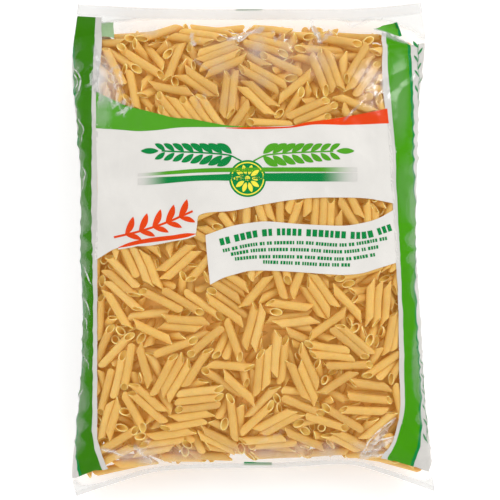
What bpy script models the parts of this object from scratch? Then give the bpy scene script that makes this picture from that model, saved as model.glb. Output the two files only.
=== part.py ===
"""A filled pillow bag of pasta quills, lying on its back with the printed front up.

Metres, +Z up. The top of the bag points to +Y. The origin is on the surface that the bag lies on,
under the middle of its box. The bag is one solid: a body that swells between two flat end seals.
"""

import math

import bmesh
import bpy

# Driving dimensions
THICKNESS = 0.092  # the filled body, from the floor to the top of its crown
TOP_SEAL_DEPTH = 0.012  # the flat sealed band at the top
BOTTOM_SEAL_DEPTH = 0.0055  # the lower band is narrower, so the filling reaches further down
SEAL_THICKNESS = 0.0012  # the film is far thinner, and this keeps the band a solid
SEAL_HEIGHT = 0.037  # how high the filled body carries the seals above the floor
SEAL_DROOP = 0.004  # the free edge of each band hangs this much lower than its inner edge
SEAL_WAVE = 0.0025  # the bands rise and fall by this much across the bag
SEAL_WAVES = 2.5  # rises and falls across the bag
SEAL_PHASE = 0.7  # radians that the waves are shifted by, so the left end isn't level

# The bag's outline seen from above, as four edges whose points are in rising order.
# The points of the left and right edges are (along, across), and of the other two (across, along).
LEFT_EDGE = (
    (-0.2477, -0.1773),
    (-0.2270, -0.1820),
    (-0.1840, -0.1780),
    (-0.1450, -0.1745),
    (-0.0840, -0.1712),
    (-0.0010, -0.1736),
    (0.0590, -0.1730),
    (0.1190, -0.1768),
    (0.1820, -0.1820),
    (0.2461, -0.1757),
)
RIGHT_EDGE = (
    (-0.2427, 0.1820),
    (-0.1984, 0.1772),
    (-0.1520, 0.1724),
    (-0.0724, 0.1680),
    (-0.0007, 0.1638),
    (0.0900, 0.1652),
    (0.1470, 0.1670),
    (0.2060, 0.1729),
    (0.2477, 0.1684),
)
BOTTOM_EDGE = (
    (-0.1773, -0.2477),
    (-0.1414, -0.2357),
    (-0.1000, -0.2240),
    (-0.0560, -0.2205),
    (0.0290, -0.2191),
    (0.0974, -0.2165),
    (0.1325, -0.2255),
    (0.1820, -0.2427),
)
TOP_EDGE = (
    (-0.1757, 0.2461),
    (-0.1334, 0.2437),
    (-0.0970, 0.2421),
    (0.0000, 0.2411),
    (0.0770, 0.2413),
    (0.1086, 0.2421),
    (0.1405, 0.2445),
    (0.1684, 0.2477),
)

# How the body swells. A higher power is a flatter crown with a tighter turn at its rim.
SIDE_POWER = 2.45
BOTTOM_END_POWER = 3.9
TOP_END_POWER = 3.1
END_ROUNDNESS = 0.54  # under 1, the ends leave the seals steeply
BELLY_SAG = 1.16  # the underside would hang this much below the floor, so it lies flat on it
TOP_EAR_LENGTH = 0.022  # the corners stay flat this far from the top seal
BOTTOM_EAR_LENGTH = 0.005  # and this far from the bottom one, where the filling sinks into them
EAR_START = 0.62  # the share of the half width where an ear begins
ROUND_GAIN = 1.5  # how soon the points of a loop crowd towards its rims as the bag swells
RIM_TAPER = 8  # the film's thickness runs out over one part in this many of the half width

# Relief that the filling and the gathered film give the body
LUMP_HEIGHT = 0.0012
LUMP_SPAN = 0.36
LUMP_WAVES = (
    (4.3, 1.1, 0.4),
    (-2.7, 5.4, 1.9),
    (6.2, 4.1, 3.3),
    (1.6, -7.3, 5.1),
    (-7.9, 2.4, 2.6),
    (3.8, 9.7, 0.9),
)
GATHER_HEIGHT = 0.0020  # the pleats that run out of the seals
GATHER_COUNT = 9
GATHER_REACH = 0.055  # they fade out this far from the seal
GATHER_EASE = 1.5  # over 1, they fade fast at first
FOLD_RUN_OUT = 4  # a fold runs out over one part in this many of its length, at each end
FOLD_LIMIT = 0.6  # no fold is deeper than this share of the swell above the seals

# Folds of the front film: (start x, start y, end x, end y, depth, half width)
FOLDS = (
    (0.108, -0.210, 0.141, -0.172, 0.0050, 0.0060),
    (0.108, -0.210, 0.142, -0.191, 0.0035, 0.0050),
    (-0.102, -0.214, -0.122, -0.195, 0.0045, 0.0060),
    (-0.128, -0.206, -0.153, -0.197, 0.0035, 0.0055),
    (-0.024, 0.208, 0.012, 0.222, 0.0040, 0.0060),
    (0.057, 0.232, 0.066, 0.208, 0.0040, 0.0060),
    (0.122, 0.224, 0.162, 0.203, 0.0060, 0.0060),
    (-0.160, 0.190, -0.148, 0.150, 0.0035, 0.0060),
)

# Mesh density
RING_POINTS = 96
BODY_ROWS = 48
SEAL_ROWS = 2

PASTA_YELLOW = (0.60, 0.35, 0.10)
FILM_ROUGHNESS = 0.25


def smooth_through(points, at):
    """The value at one place of a smooth curve through (place, value) points in rising order."""
    last = len(points) - 1
    at = min(max(at, points[0][0]), points[last][0])
    span = max(i for i in range(last) if points[i][0] <= at)
    x0, y0 = points[span]
    x1, y1 = points[span + 1]
    before = points[max(span - 1, 0)]
    after = points[min(span + 2, last)]
    slope0 = (y1 - before[1]) / (x1 - before[0])
    slope1 = (after[1] - y0) / (after[0] - x0)
    width = x1 - x0
    t = (at - x0) / width
    return (
        y0 * (1 + 2 * t) * (1 - t) ** 2
        + slope0 * width * t * (1 - t) ** 2
        + y1 * t * t * (3 - 2 * t)
        + slope1 * width * t * t * (t - 1)
    )


def smooth_step(share):
    """Eases from 0 to 1 as share goes from 0 to 1."""
    share = min(max(share, 0.0), 1.0)
    return share * share * (3 - 2 * share)


def end_swell(t, c, length):
    """Share of the full thickness at t, which runs from 0 at the bottom seal to 1 at the top one.

    c runs from -1 to 1 across the bag and length is the body's there. The corners stay flat as ears.
    """
    ear_length = BOTTOM_EAR_LENGTH if t < 0.5 else TOP_EAR_LENGTH
    ear = ear_length / length * smooth_step((abs(c) - EAR_START) / (1 - EAR_START))
    inside = max(0.0, 1 - abs(2 * t - 1) - 2 * ear) / (1 - 2 * ear)
    power = BOTTOM_END_POWER if t < 0.5 else TOP_END_POWER
    return max(0.0, 1 - (1 - inside) ** power) ** END_ROUNDNESS


def side_swell(c):
    """Share of the full thickness at c, which runs from -1 at the left side to 1 at the right."""
    return max(0.0, 1 - abs(c) ** SIDE_POWER) ** (1 / SIDE_POWER)


def lumps(x, y):
    """Soft unevenness of the filling, from -1 to 1."""
    total = 0.0
    for along_x, along_y, phase in LUMP_WAVES:
        total += math.sin(2 * math.pi * (along_x * x + along_y * y) / LUMP_SPAN + phase)
    return total / len(LUMP_WAVES)


def gathers(c, from_seal):
    """Pleats that start at a seal and fade out, from -1 to 1."""
    fade = max(0.0, 1 - from_seal / GATHER_REACH) ** GATHER_EASE
    return math.sin(math.pi * GATHER_COUNT * c) * fade


def fold_depth(x, y):
    """How far the folds of the front film sink at one place seen from above."""
    sunk = 0.0
    for x0, y0, x1, y1, depth, half_width in FOLDS:
        run_x, run_y = x1 - x0, y1 - y0
        length = math.hypot(run_x, run_y)
        along = ((x - x0) * run_x + (y - y0) * run_y) / length**2
        off = ((y - y0) * run_x - (x - x0) * run_y) / length
        fade = smooth_step(FOLD_RUN_OUT * along + 0.5) * smooth_step(FOLD_RUN_OUT * (1 - along) + 0.5)
        sunk += depth * fade * math.exp(-((off / half_width) ** 2))
    return sunk


def seal_height(c, outward):
    """Height of a seal band at c across it. outward runs from 0 at its inner edge to 1 at its free one."""
    wave = math.sin(math.pi * SEAL_WAVES * c + SEAL_PHASE) * SEAL_WAVE
    return SEAL_HEIGHT - SEAL_DROOP * outward + wave * outward


def ring(t, outward):
    """One closed loop round the bag at t along it, or round a seal band where outward is over 0."""
    band = -BOTTOM_SEAL_DEPTH * outward if t < 0.5 else TOP_SEAL_DEPTH * outward
    lowest, highest = LEFT_EDGE[0][0], LEFT_EDGE[-1][0]
    y_side = lowest + BOTTOM_SEAL_DEPTH + t * (highest - lowest - BOTTOM_SEAL_DEPTH - TOP_SEAL_DEPTH) + band
    x_left = smooth_through(LEFT_EDGE, y_side)
    x_right = smooth_through(RIGHT_EDGE, y_side)
    middle = (x_left + x_right) / 2
    half = (x_right - x_left) / 2
    roundness = min(1.0, ROUND_GAIN * end_swell(t, 0.0, highest - lowest))
    loop = []
    for i in range(RING_POINTS):
        upper = i <= RING_POINTS // 2
        rounded = math.cos(2 * math.pi * i / RING_POINTS)
        even = 1 - 4 * i / RING_POINTS if upper else 4 * i / RING_POINTS - 3
        c = even + (rounded - even) * roundness
        x = middle + half * c
        inner_low = smooth_through(BOTTOM_EDGE, x) + BOTTOM_SEAL_DEPTH
        inner_high = smooth_through(TOP_EDGE, x) - TOP_SEAL_DEPTH
        y = inner_low + (inner_high - inner_low) * t + band
        length = inner_high - inner_low
        share = side_swell(c) * end_swell(t, c, length)
        relief = LUMP_HEIGHT * lumps(x, y) + GATHER_HEIGHT * gathers(c, min(t, 1 - t) * length)
        film = SEAL_THICKNESS / 2 * min(1.0, RIM_TAPER * (1 - abs(c)))
        z = seal_height(c, outward)
        if upper:
            sunk = min(fold_depth(x, y), FOLD_LIMIT * (THICKNESS - SEAL_HEIGHT) * share)
            z += (THICKNESS - LUMP_HEIGHT - SEAL_HEIGHT + relief) * share - sunk + film
        else:
            z -= (BELLY_SAG * SEAL_HEIGHT + relief) * share + film
        loop.append((x, y, max(z, 0.0)))
    return loop


def stations():
    """(t, outward) of every loop, from the bottom band's free edge to the top band's."""
    low = [(0.0, 1 - i / SEAL_ROWS) for i in range(SEAL_ROWS)]
    body = [(0.5 - 0.5 * math.cos(math.pi * i / BODY_ROWS), 0.0) for i in range(BODY_ROWS + 1)]
    high = [(1.0, (i + 1) / SEAL_ROWS) for i in range(SEAL_ROWS)]
    return low + body + high


def close_end(mesh, loop):
    """Fills the flat free edge of a seal band with a strip of faces between its two films."""
    count = len(loop)
    half = count // 2
    for i in range(half):
        upper = (loop[i], loop[i + 1])
        lower = (loop[(count - i) % count], loop[(count - i - 1) % count])
        corners = []
        for vertex in (upper[0], upper[1], lower[1], lower[0]):
            if vertex not in corners:
                corners.append(vertex)
        mesh.faces.new(corners)


def build_bag():
    """Lofts the loops into one closed skin."""
    mesh = bmesh.new()
    loops = [[mesh.verts.new(point) for point in ring(t, outward)] for t, outward in stations()]
    for low, high in zip(loops, loops[1:]):
        for i in range(RING_POINTS):
            j = (i + 1) % RING_POINTS
            mesh.faces.new((low[i], low[j], high[j], high[i]))
    close_end(mesh, loops[0])
    close_end(mesh, loops[-1])
    bmesh.ops.recalc_face_normals(mesh, faces=mesh.faces)
    data = bpy.data.meshes.new("pasta_packet")
    mesh.to_mesh(data)
    mesh.free()
    data.shade_smooth()
    return data


def film_material():
    """One colour for the whole bag: the pasta that its clear film shows."""
    material = bpy.data.materials.new("filled_film")
    material.use_nodes = True
    shader = material.node_tree.nodes["Principled BSDF"]
    shader.inputs["Base Color"].default_value = (*PASTA_YELLOW, 1.0)
    shader.inputs["Roughness"].default_value = FILM_ROUGHNESS
    shader.inputs["Metallic"].default_value = 0.0
    material.diffuse_color = (*PASTA_YELLOW, 1.0)
    return material


def main():
    """Clears the scene and makes the packet."""
    for thing in list(bpy.data.objects):
        bpy.data.objects.remove(thing, do_unlink=True)
    packet = bpy.data.objects.new("pasta_packet", build_bag())
    packet.data.materials.append(film_material())
    bpy.context.scene.collection.objects.link(packet)


main()
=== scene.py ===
"""The looks of a filled pillow bag of pasta quills, lying on its back with the printed front up.

Metres, +Z up, the top of the bag points to +Y. The clear film is wrapped over quills that are packed
loose inside the bag's form, and the printed fields lie just inside the film.
"""

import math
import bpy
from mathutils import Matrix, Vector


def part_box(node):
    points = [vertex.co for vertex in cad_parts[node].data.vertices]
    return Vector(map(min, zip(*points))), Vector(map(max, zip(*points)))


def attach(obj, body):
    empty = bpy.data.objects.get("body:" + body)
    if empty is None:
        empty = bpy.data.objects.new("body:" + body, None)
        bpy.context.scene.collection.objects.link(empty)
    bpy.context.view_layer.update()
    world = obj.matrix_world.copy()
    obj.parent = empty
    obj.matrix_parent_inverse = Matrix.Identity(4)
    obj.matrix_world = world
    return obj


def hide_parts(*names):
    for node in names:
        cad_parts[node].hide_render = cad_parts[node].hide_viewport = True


bl_info = {
    "name": "Pasta Packet Looks",
    "version": (1, 0, 0),
    "blender": (4, 5, 0),
    "location": "3D View > Sidebar > Pasta Packet",
    "description": "Makes the film, print, quills and stage of a filled pasta bag",
    "category": "Object",
}

import bpy
import numpy as np
from bpy.props import FloatProperty, FloatVectorProperty, IntProperty, PointerProperty
from mathutils import Vector
from mathutils.bvhtree import BVHTree

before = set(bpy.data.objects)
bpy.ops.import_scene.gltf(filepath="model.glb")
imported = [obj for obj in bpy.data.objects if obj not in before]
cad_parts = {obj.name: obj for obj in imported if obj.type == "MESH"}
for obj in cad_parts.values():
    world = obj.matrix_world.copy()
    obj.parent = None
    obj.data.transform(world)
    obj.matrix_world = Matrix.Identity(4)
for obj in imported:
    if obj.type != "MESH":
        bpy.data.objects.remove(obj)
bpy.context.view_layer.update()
NODE = "pasta_packet"
LOW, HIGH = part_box(NODE)
MM = 0.001
SEED = 41

# The bag's form, as the solid has it: the edges are (along, across) or (across, along)
THICKNESS = HIGH.z - LOW.z
TOP_SEAL_DEPTH = 0.012
BOTTOM_SEAL_DEPTH = 0.0055
SEAL_HEIGHT = 0.037
SEAL_DROOP = 0.004
SEAL_WAVE = 0.0025
SEAL_WAVES = 2.5
SEAL_PHASE = 0.7
LEFT_EDGE = (
    (-0.2477, -0.1773), (-0.2270, -0.1820), (-0.1840, -0.1780), (-0.1450, -0.1745), (-0.0840, -0.1712),
    (-0.0010, -0.1736), (0.0590, -0.1730), (0.1190, -0.1768), (0.1820, -0.1820), (0.2461, -0.1757),
)
RIGHT_EDGE = (
    (-0.2427, 0.1820), (-0.1984, 0.1772), (-0.1520, 0.1724), (-0.0724, 0.1680), (-0.0007, 0.1638),
    (0.0900, 0.1652), (0.1470, 0.1670), (0.2060, 0.1729), (0.2477, 0.1684),
)
BOTTOM_EDGE = (
    (-0.1773, -0.2477), (-0.1414, -0.2357), (-0.1000, -0.2240), (-0.0560, -0.2205),
    (0.0290, -0.2191), (0.0974, -0.2165), (0.1325, -0.2255), (0.1820, -0.2427),
)
TOP_EDGE = (
    (-0.1757, 0.2461), (-0.1334, 0.2437), (-0.0970, 0.2421), (0.0000, 0.2411),
    (0.0770, 0.2413), (0.1086, 0.2421), (0.1405, 0.2445), (0.1684, 0.2477),
)
SIDE_POWER = 2.45
BOTTOM_END_POWER = 3.9
TOP_END_POWER = 3.1
END_ROUNDNESS = 0.54
BELLY_SAG = 1.16
TOP_EAR_LENGTH = 0.022
BOTTOM_EAR_LENGTH = 0.005
EAR_START = 0.62
LUMP_HEIGHT = 0.0012
LUMP_SPAN = 0.36
LUMP_WAVES = ((4.3, 1.1, 0.4), (-2.7, 5.4, 1.9), (6.2, 4.1, 3.3), (1.6, -7.3, 5.1), (-7.9, 2.4, 2.6),
              (3.8, 9.7, 0.9))

# The film's grid
HALF_RING = 200  # faces across the front, and as many across the back
RING = 2 * HALF_RING
BODY_ROWS = 228
SEAL_ROWS = 6
PROFILE_POINTS = 4001
ROUNDED_BY = 1.5  # how soon the columns gather at the sides, away from a flat seal
BELLY_LIFT = 0.0007  # the film's underside, above the floor
SEAL_GAP = 0.0006  # between the two films of a seal band

# Depths below the film's outer face
WHITE_DEPTH = 0.00027
COLOUR_DEPTH = 0.00020
EDGE_DEPTH = 0.00017
DISC_DEPTH = 0.00012
DETAIL_DEPTH = 0.00004
SEAM_DEPTH = -0.0003  # stands out from the film
PINCH_DEPTH = -0.00015
QUILL_CLEARANCE = 0.0009

# The heap of quills
FIELD_PITCH = 0.0045  # between the lattice points that know the distance to the film
FIELD_SKIP = 4  # one in this many of the film's rows and columns serves the lattice
HEAP_DEPTH = 0.027
HEAP_TOP = ((-160, 219), (-140, 221), (-132, 209), (-118, 219), (-90, 221), (-70, 229), (-50, 222),
            (0, 226), (40, 221), (70, 225), (100, 217), (135, 216), (160, 206))
PACK_STEPS = 700
GROW_STEPS = 260
RELAX_STEPS = 160
PAIR_STEPS = 8  # packing steps between two searches for close pairs
PAIR_REACH = 0.006
PAIR_BLOCK = 400
PUSH_SHARE = 1.4
PRESS = 0.00022  # how far a step moves each quill towards the film
LAID_FLAT = 0.93  # 1 lays every quill along the film
LEAST_DEPTH = 0.6  # of the radius, or the quill is left out
MOST_OVERLAP = 0.0018

# A quill
LENGTHS = (0.94, 1.04)
TIP_SHARE = 0.9
CUT_ANGLES = (42, 52)
CUT_SIDEWAYS = 1.5  # 1 turns the cuts any way, more turns them along the film
MOST_BEND = 0.0009
MOST_FLAT = 0.05
MIDDLE_FLAT = 0.2  # how much of that its middle takes
UPPER_SIDES = 12
UNDER_SIDES = 8
UNDER_TURN = -0.15  # quills whose film faces further down than this lie under the bag

# The core under the quills
CORE_DEPTH = 0.0190
CORE_ROWS = 60
CORE_COLUMNS = 96
CORE_REACH = 1.3
CORE_HALVINGS = 22

# The film over the heap
RAY_REACH = 0.030
RAY_LIFT = 0.002
MOST_SAG = 0.0028
MOST_BULGE = 0.0020
INWARD_SHARE = 0.3  # of the way to the bag's middle plane, at most
SAG_STEPS = 300
SAG_PULL = 0.00002

# The loose film's relief. Both runs say how long the body is, as it counts from each seal
TOP_RUN = 0.45
LOW_RUN = 0.43
PLEAT_HEIGHT = 0.0014
PLEAT_START = 0.004
PLEAT_REACH = 0.052
WIDE_PLEATS = 9
FINE_PLEATS = 17.3
FINE_SHARE = 0.7
SCALLOP_HEIGHT = 0.0013
SCALLOP_SPAN = 0.034
SCALLOP_LEAN = 0.275
SCALLOP_START = 0.86
CRINKLE_HEIGHT = 0.00018
CRINKLE_RISE = 0.00042  # added near the seals
CRINKLE_SPAN = 0.014
FACET_HEIGHT = 0.0007
FACET_SPAN = 0.009
END_REACH = 0.05
# Folds and creases of the front: (start x, start y, end x, end y, height, half width), in millimetres
FOLDS = (
    (108, -210, 141, -172, -5.0, 6.0),
    (108, -210, 142, -191, -3.5, 5.0),
    (-102, -214, -122, -195, -4.5, 6.0),
    (-128, -206, -153, -197, -3.5, 5.5),
    (-24, 208, 12, 222, -4.0, 6.0),
    (57, 232, 66, 208, -4.0, 6.0),
    (122, 224, 162, 203, -6.0, 6.0),
    (-160, 190, -148, 150, -3.5, 6.0),
)
# Sharp ridges where the film is pinched, told in the same way
RIDGES = (
    (108, -210, 141, -171, 2.2, 1.6),
    (110, -212, 140, -189, 1.8, 1.6),
    (108, -208, 126, -206, 1.6, 1.5),
    (-119, -197, -102, -215, 2.4, 1.5),
    (-152, -199, -128, -208, 1.6, 1.5),
    (-26, 209, 10, 222, 2.2, 1.6),
    (57, 233, 68, 207, 2.0, 1.5),
    (121, 223, 160, 206, 2.4, 1.1),
    (-160, 205, -146, 152, 1.4, 2.0),
    (-158, 170, -140, 146, 1.4, 1.8),
    (90, 128, 112, 150, 1.0, 1.6),
    (-60, 190, -40, 176, 1.0, 1.5),
    (-137, 150, -131, 141, 1.0, 1.2),
    (-133, 141, -127, 131, 0.9, 1.2),
    (-126, 147, -121, 139, 0.8, 1.0),
)
# Soft patches of the front: (x, y, reach across, reach along, strength), in millimetres.
# Where the film is crushed into small facets, with painted glints on them
CRUSHED = (
    (-147, 170, 19, 19, 1.0),
    (-131, 144, 11, 11, 0.8),
    (-60, 210, 7, 7, 1.0),
    (-52, 150, 11, 11, 0.5),
    (127, 160, 13, 13, 0.8),
    (72, 219, 10, 10, 0.8),
    (22, 213, 7, 7, 0.6),
    (-106, -198, 9, 9, 0.5),
    (122, -190, 12, 12, 0.25),
    (20, -192, 20, 20, 0.25),
)
# Soft painted sheens on the bands and the left sweep
SHEENS = (
    (147, 150, 11, 48, 0.30),
    (152, 62, 10, 36, 0.24),
    (163, -112, 4, 36, 0.42),
    (-152, 133, 12, 14, 0.35),
)
# Where the film is milky over the quills
HAZES = (
    (15, 190, 75, 30, 0.34),
    (-30, 152, 30, 14, 0.22),
    (120, 165, 22, 30, 0.30),
    (-154, 168, 20, 30, 0.85),
    (-112, 221, 34, 9, 0.40),
    (60, -203, 90, 12, 0.42),
    (-95, -206, 50, 12, 0.45),
)
SEAL_VEIL = 0.5  # how milky the sealed film is
VEIL_START = 0.004  # how far the film stands off the quills where it starts to look milky
VEIL_RISE = 0.014
VEIL_SPREAD = 6
VEIL_BLUR = 8
# Painted highlights along the edges of pinched film: their points and width, in millimetres
PINCH_HIGHLIGHTS = (
    (((108, -206), (121, -187), (143, -168)), 2.2),
    (((111, -208), (129, -191), (143, -187)), 2.0),
    (((112, -209), (123, -207), (135, -205)), 1.7),
    (((118, -199), (124, -194), (131, -189)), 1.6),
    (((-117, -199), (-110, -206), (-101, -214)), 2.0),
    (((-152, -200), (-142, -203), (-129, -207)), 1.4),
    (((-36, 216), (-22, 211), (-6, 214), (5, 225)), 1.9),
    (((-30, 219), (-16, 217), (0, 224)), 1.4),
    (((57, 232), (61, 220), (68, 207)), 1.6),
    (((122, 223), (141, 216), (160, 206)), 1.8),
    (((-180, 183), (-173, 169), (-179, 152)), 1.7),
    (((-181, 178), (-176, 168), (-180, 160)), 1.3),
    (((-176, 132), (-170, 122), (-172, 108)), 1.3),
    (((-175, 88), (-168, 76), (-172, 58)), 1.3),
    (((-172, -14), (-166, -26), (-161, -36)), 1.4),
    (((-173, -45), (-166, -55), (-163, -66)), 1.6),
    (((-172, -64), (-167, -72), (-165, -84)), 1.4),
    (((-173, -105), (-167, -112), (-164, -120)), 1.5),
    (((-171, -140), (-174, -152), (-178, -163)), 1.6),
)
PINCH_POINTS = 31

# The print, placed on the flat front in millimetres: (across, along)
WINDOW_LEFT = ((-152, 233), (-152, 199), (-155.4, 169), (-155.4, 121), (-156, 90), (-156, -9), (-156, -190),
               (-151, -206), (-145, -221))
STRIPE_LEFT = ((-158, 233), (-160, 199), (-161.8, 149), (-161.3, 84), (-162.6, 14), (-160.8, -1),
               (-160, -61), (-160.5, -111), (-161.3, -181), (-159, -200), (-151, -221))
WINDOW_RIGHT = ((130, 223), (130, 200), (129.3, 185), (130, 161), (132.2, 141), (134, 126), (139.5, 46),
                (143, -14), (145.3, -48), (146, -96), (147, -140), (147, -160), (143.7, -181),
                (137.3, -197), (128, -209))
STRIPE_RIGHT = ((134.5, 221), (134.9, 201), (135.4, 177), (138, 153), (140.5, 121), (143, 90), (144, 58),
                (145.3, 26), (147, -1), (149.3, -48), (151.3, -97), (152, -144), (151.7, -160),
                (148.5, -176), (143.7, -192), (134, -212))
STRIPE_RIGHT_OUT = ((158, 206), (159.6, 178), (161.2, 138), (162, 106), (163, 74), (163.6, -1), (163.6, -49),
                    (166, -97), (168.4, -128), (169.2, -160), (169.2, -184), (167.3, -199), (163.5, -209),
                    (160.7, -218))
SWEEP_GREEN_TOP = ((-157.4, 158), (-141.4, 150), (-125.4, 143), (-109.5, 139), (-94, 135), (-78, 131),
                   (-62, 130), (-46, 127), (-30, 124), (-9, 122.3), (-2, 122))
SWEEP_GREEN_LOW = ((-157.4, 121), (-133, 119.3), (-114.3, 117.8), (-94, 119), (-78, 121), (-62, 121.7),
                   (-40, 121.7), (-17, 121.7), (-2, 121.6))
SWEEP_RED_TOP = ((-27, 121.2), (-2, 121.8), (37, 122.5), (53, 126.5), (77, 129.7), (109, 135.3),
                 (134.5, 140.8))
SWEEP_RED_LOW = ((-27, 120.6), (-2, 119.6), (37, 121), (61, 124.3), (93, 124.1), (136, 125.8))
PANEL_TOP = ((-157.6, 124.2), (-114, 121), (-62, 123), (-2, 122), (37, 123), (61, 126), (93, 126),
             (137, 127.6))
PANEL_LOW = ((-158.4, -11.0), (-135, 1.3), (-99, 4.2), (-58, 14.8), (-56, 22), (-53, 34.3), (-19, 38.6),
             (12, 45), (53, 50.8), (93, 51.6), (117, 50.3), (142.5, 45.4))
RIBBON_TOP = ((-47.3, 14.1), (-22, 22.9), (-3, 26.3), (13, 27.7), (45, 25.3), (77, 23.7), (93, 23.7),
              (109, 26.1), (125, 30.9), (142.5, 40.5))
RIBBON_LOW = ((-42.7, -35.2), (-29.8, -28.6), (-13.8, -23.8), (-3, -21.4), (21, -21.4), (45, -22.7),
              (77, -24.9), (93, -25.4), (109, -23.8), (125, -19), (146, -12.6))
STRIPE_LIGHT_TOP = ((-115, 75.6), (-103, 76.3), (-53, 80.3), (-10, 81.4), (40, 81.6), (104, 81.6))
STRIPE_LIGHT_LOW = ((-115, 72.6), (-103, 73.3), (-53, 76.3), (-10, 77.0), (40, 77.1), (104, 77.1))
STRIPE_DEEP_TOP = ((-115, 70.6), (-103, 71.3), (-53, 73.8), (-10, 75.4), (40, 76.0), (104, 76.0))
STRIPE_DEEP_LOW = ((-115, 64.0), (-103, 64.3), (-53, 68.3), (-10, 68.0), (40, 67.6), (104, 67.6))
STRIPE_STEPS = 120
STRIPE_FADES = (0.14, 0.17)  # shares of the stripes that fade in at the left and out at the right
BRUSH_TOP = ((-134.5, 2.0), (-124, 6.5), (-112, 9.6), (-96, 12.2), (-80, 14.0), (-66, 16.0), (-57, 15.6))
BRUSH_LOW = ((-134.5, 1.4), (-124, 3.0), (-112, 5.4), (-96, 7.6), (-80, 9.6), (-66, 12.0), (-57, 15.0))
BRUSH_EDGE = 1.6
# The brush-drawn sprig over the stroke: each leaf is (across, along, length, width, angle, bend)
SPRIG_STEM = ((-139, 12), (-115, 17.5), (-88, 26), (-60, 38))
SPRIG_STEM_WIDTH = 2.2
SPRIG_NODES = range(8, 58, 10)
SPRIG_LEAVES = ((4.5, 9.0, 20.0, 6.6, 66.0, -1.2), (9.0, -2.6, 16.0, 5.2, -16.0, 1.0))
# Rows of small blocks on the ribbon: their middle line and height
BLOCK_LINES = (
    (((-33, 7), (-13, 12), (4.3, 15.6), (27, 17.3), (47, 16.8), (67, 15.8), (92, 14.3), (113, 14.3),
      (138, 22)), 7.0),
    (((-30, -1.5), (4, 5.2), (47, 6.6), (92, 4.4), (134.8, 11.2)), 3.4),
    (((-22, -5.0), (4, -0.9), (47, -0.4), (92, -2.4), (127, 2.8)), 3.4),
    (((-18, -9.6), (4, -7.6), (47, -7.6), (92, -9.6), (124, -4.9)), 3.4),
    (((10, -12.5), (47, -14.0), (70, -15.2), (98.5, -15.7)), 3.4),
)
BLOCK_POINTS = 400
BLOCK_WIDTHS = (0.45, 0.75)  # of the row's height, as the two gaps are
BLOCK_GAP = 0.22
GROUP_GAP = 0.7
GROUP_SIZES = (2, 9)
# The two ears of wheat beside the badge
EAR_ROWS = 8
EAR_START_X = 12.0
EAR_STEP = 9.2
EAR_Y = 97.0
EAR_STEM_WIDTH = 1.5
KERNEL = (18.0, 7.2)
KERNEL_TILT = 34
KERNEL_BEND = 0.8
KERNEL_SHRINK = 0.045
LEAF_POWER = 0.75
BADGE = (-5.5, 70.5)
BADGE_RADIUS = 18.5
BADGE_EDGE = 1.6
PETALS = 10
PETAL_PLACE = 9.2
PETAL = (10.0, 4.4)
BADGE_RINGS = ((0.1, 2.6), (15.4, 16.6))
# The thin marks at both ends: (left, right, width)
TOP_MARK = ((-17, 240.4), (9, 240.8), 1.4)
LOW_DEEP_MARK = ((-9, -214.6), (19, -214.6), 1.3)
LOW_LIGHT_MARK = ((-9, -216.0), (19, -216.0), 1.6)
# The right band's end, folded over beside the crease, and the block behind the window's left corner
FOLDED_CORNER = (((121.5, 222.8), (142.5, 227.2)), ((133.0, 220.0), (147.5, 214.6)))
FOLDED_LINE = (((141.8, 227.4), (147.2, 214.6)), ((144.6, 228.0), (149.6, 215.0)))
CORNER_BLOCK = (((-152, 227.8), (-140, 227.8)), ((-152, 214.0), (-140, 214.0)))
CORNER_FADE = 0.4
# The leafy borders down the right side: (highest, lowest) along the bag
SIDE_BORDERS = ((206, 142), (-112, -192))
BORDER_STEP = 7.5
BORDER_OFF = 9.0  # from the band's deep line to the border's stem, round the film
BORDER_STEM = 0.8
BORDER_LEAF = (7.5, 1.7, 5.0)  # length, half width and how far it leans out
# The bands down both sides, in metres
BAND_STEPS = 300
STRIPE_WIDTH = 0.026
SIDE_WIDTH = 0.060  # white film round the side, next to a band
SIDE_END_SHARE = 0.3  # of that width at the seals
LINE_WIDTH = 0.0032
OVERLAP = 0.001
# The two green bands are one ink: the left is printed darker as painted shade, the right lighter as painted
# light
LEFT_BAND_PAINTED_SHADE = 0.78
RIGHT_BAND_PAINTED_LIGHT = 1.18
# Painted shade: the white print round the sides is a little darker than the front's white, and gets no glow
SIDE_WHITE_PAINTED_SHADE = 0.95
# Painted light: the white prints glow a little, for the light that would come through the film
WHITE_PAINTED_GLOW = 0.16
# The back, seen from above: its fields' edges, and its rows of small blocks as (highest, rows)
BACK_BAND = 66
BACK_LOW = -198
BACK_HIGH = 204
BACK_STEPS = 230
BACK_GREENS = ((-66, -58), (58, 66))
BACK_LINES = ((-56, -54.5), (54.5, 56))
BACK_SEAM = (4, 17)
BACK_BLOCKS = ((192, 1), (178, 8), (118, 7), (62, 12), (-24, 8), (-86, 10), (-160, 5))
BACK_COLUMNS = ((-50, -4), (21, 50))
BACK_PITCH = 6.4
BACK_SIZE = 2.9
BACK_HEADING = 6.0  # the height of a row that stands alone
BACK_LAST = 0.6  # how far across a group's last row goes

# The stage: lights are (name, place, size, power)
FLOOR_HALF = 6.0
FLOOR_GLOW = 0.20
LIGHTS = (
    ("key_light", (1.3, 1.2, 1.7), 1.1, 15.0),
    ("fill_light", (-1.5, 0.6, 1.6), 1.4, 5.0),
    ("foot_light", (0.1, -1.7, 1.5), 1.4, 4.0),
)
AIM = (0, 0, 0.03)
CAMERA_PLACE = (-0.003, -0.0007)
SENSOR = 36.0
VIEW_LEVEL = 0.06  # where the view width is measured, above the floor
FAR_CLIP = 50.0

# What one step works out for the next
work = {}


# Curves and small sums

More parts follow.
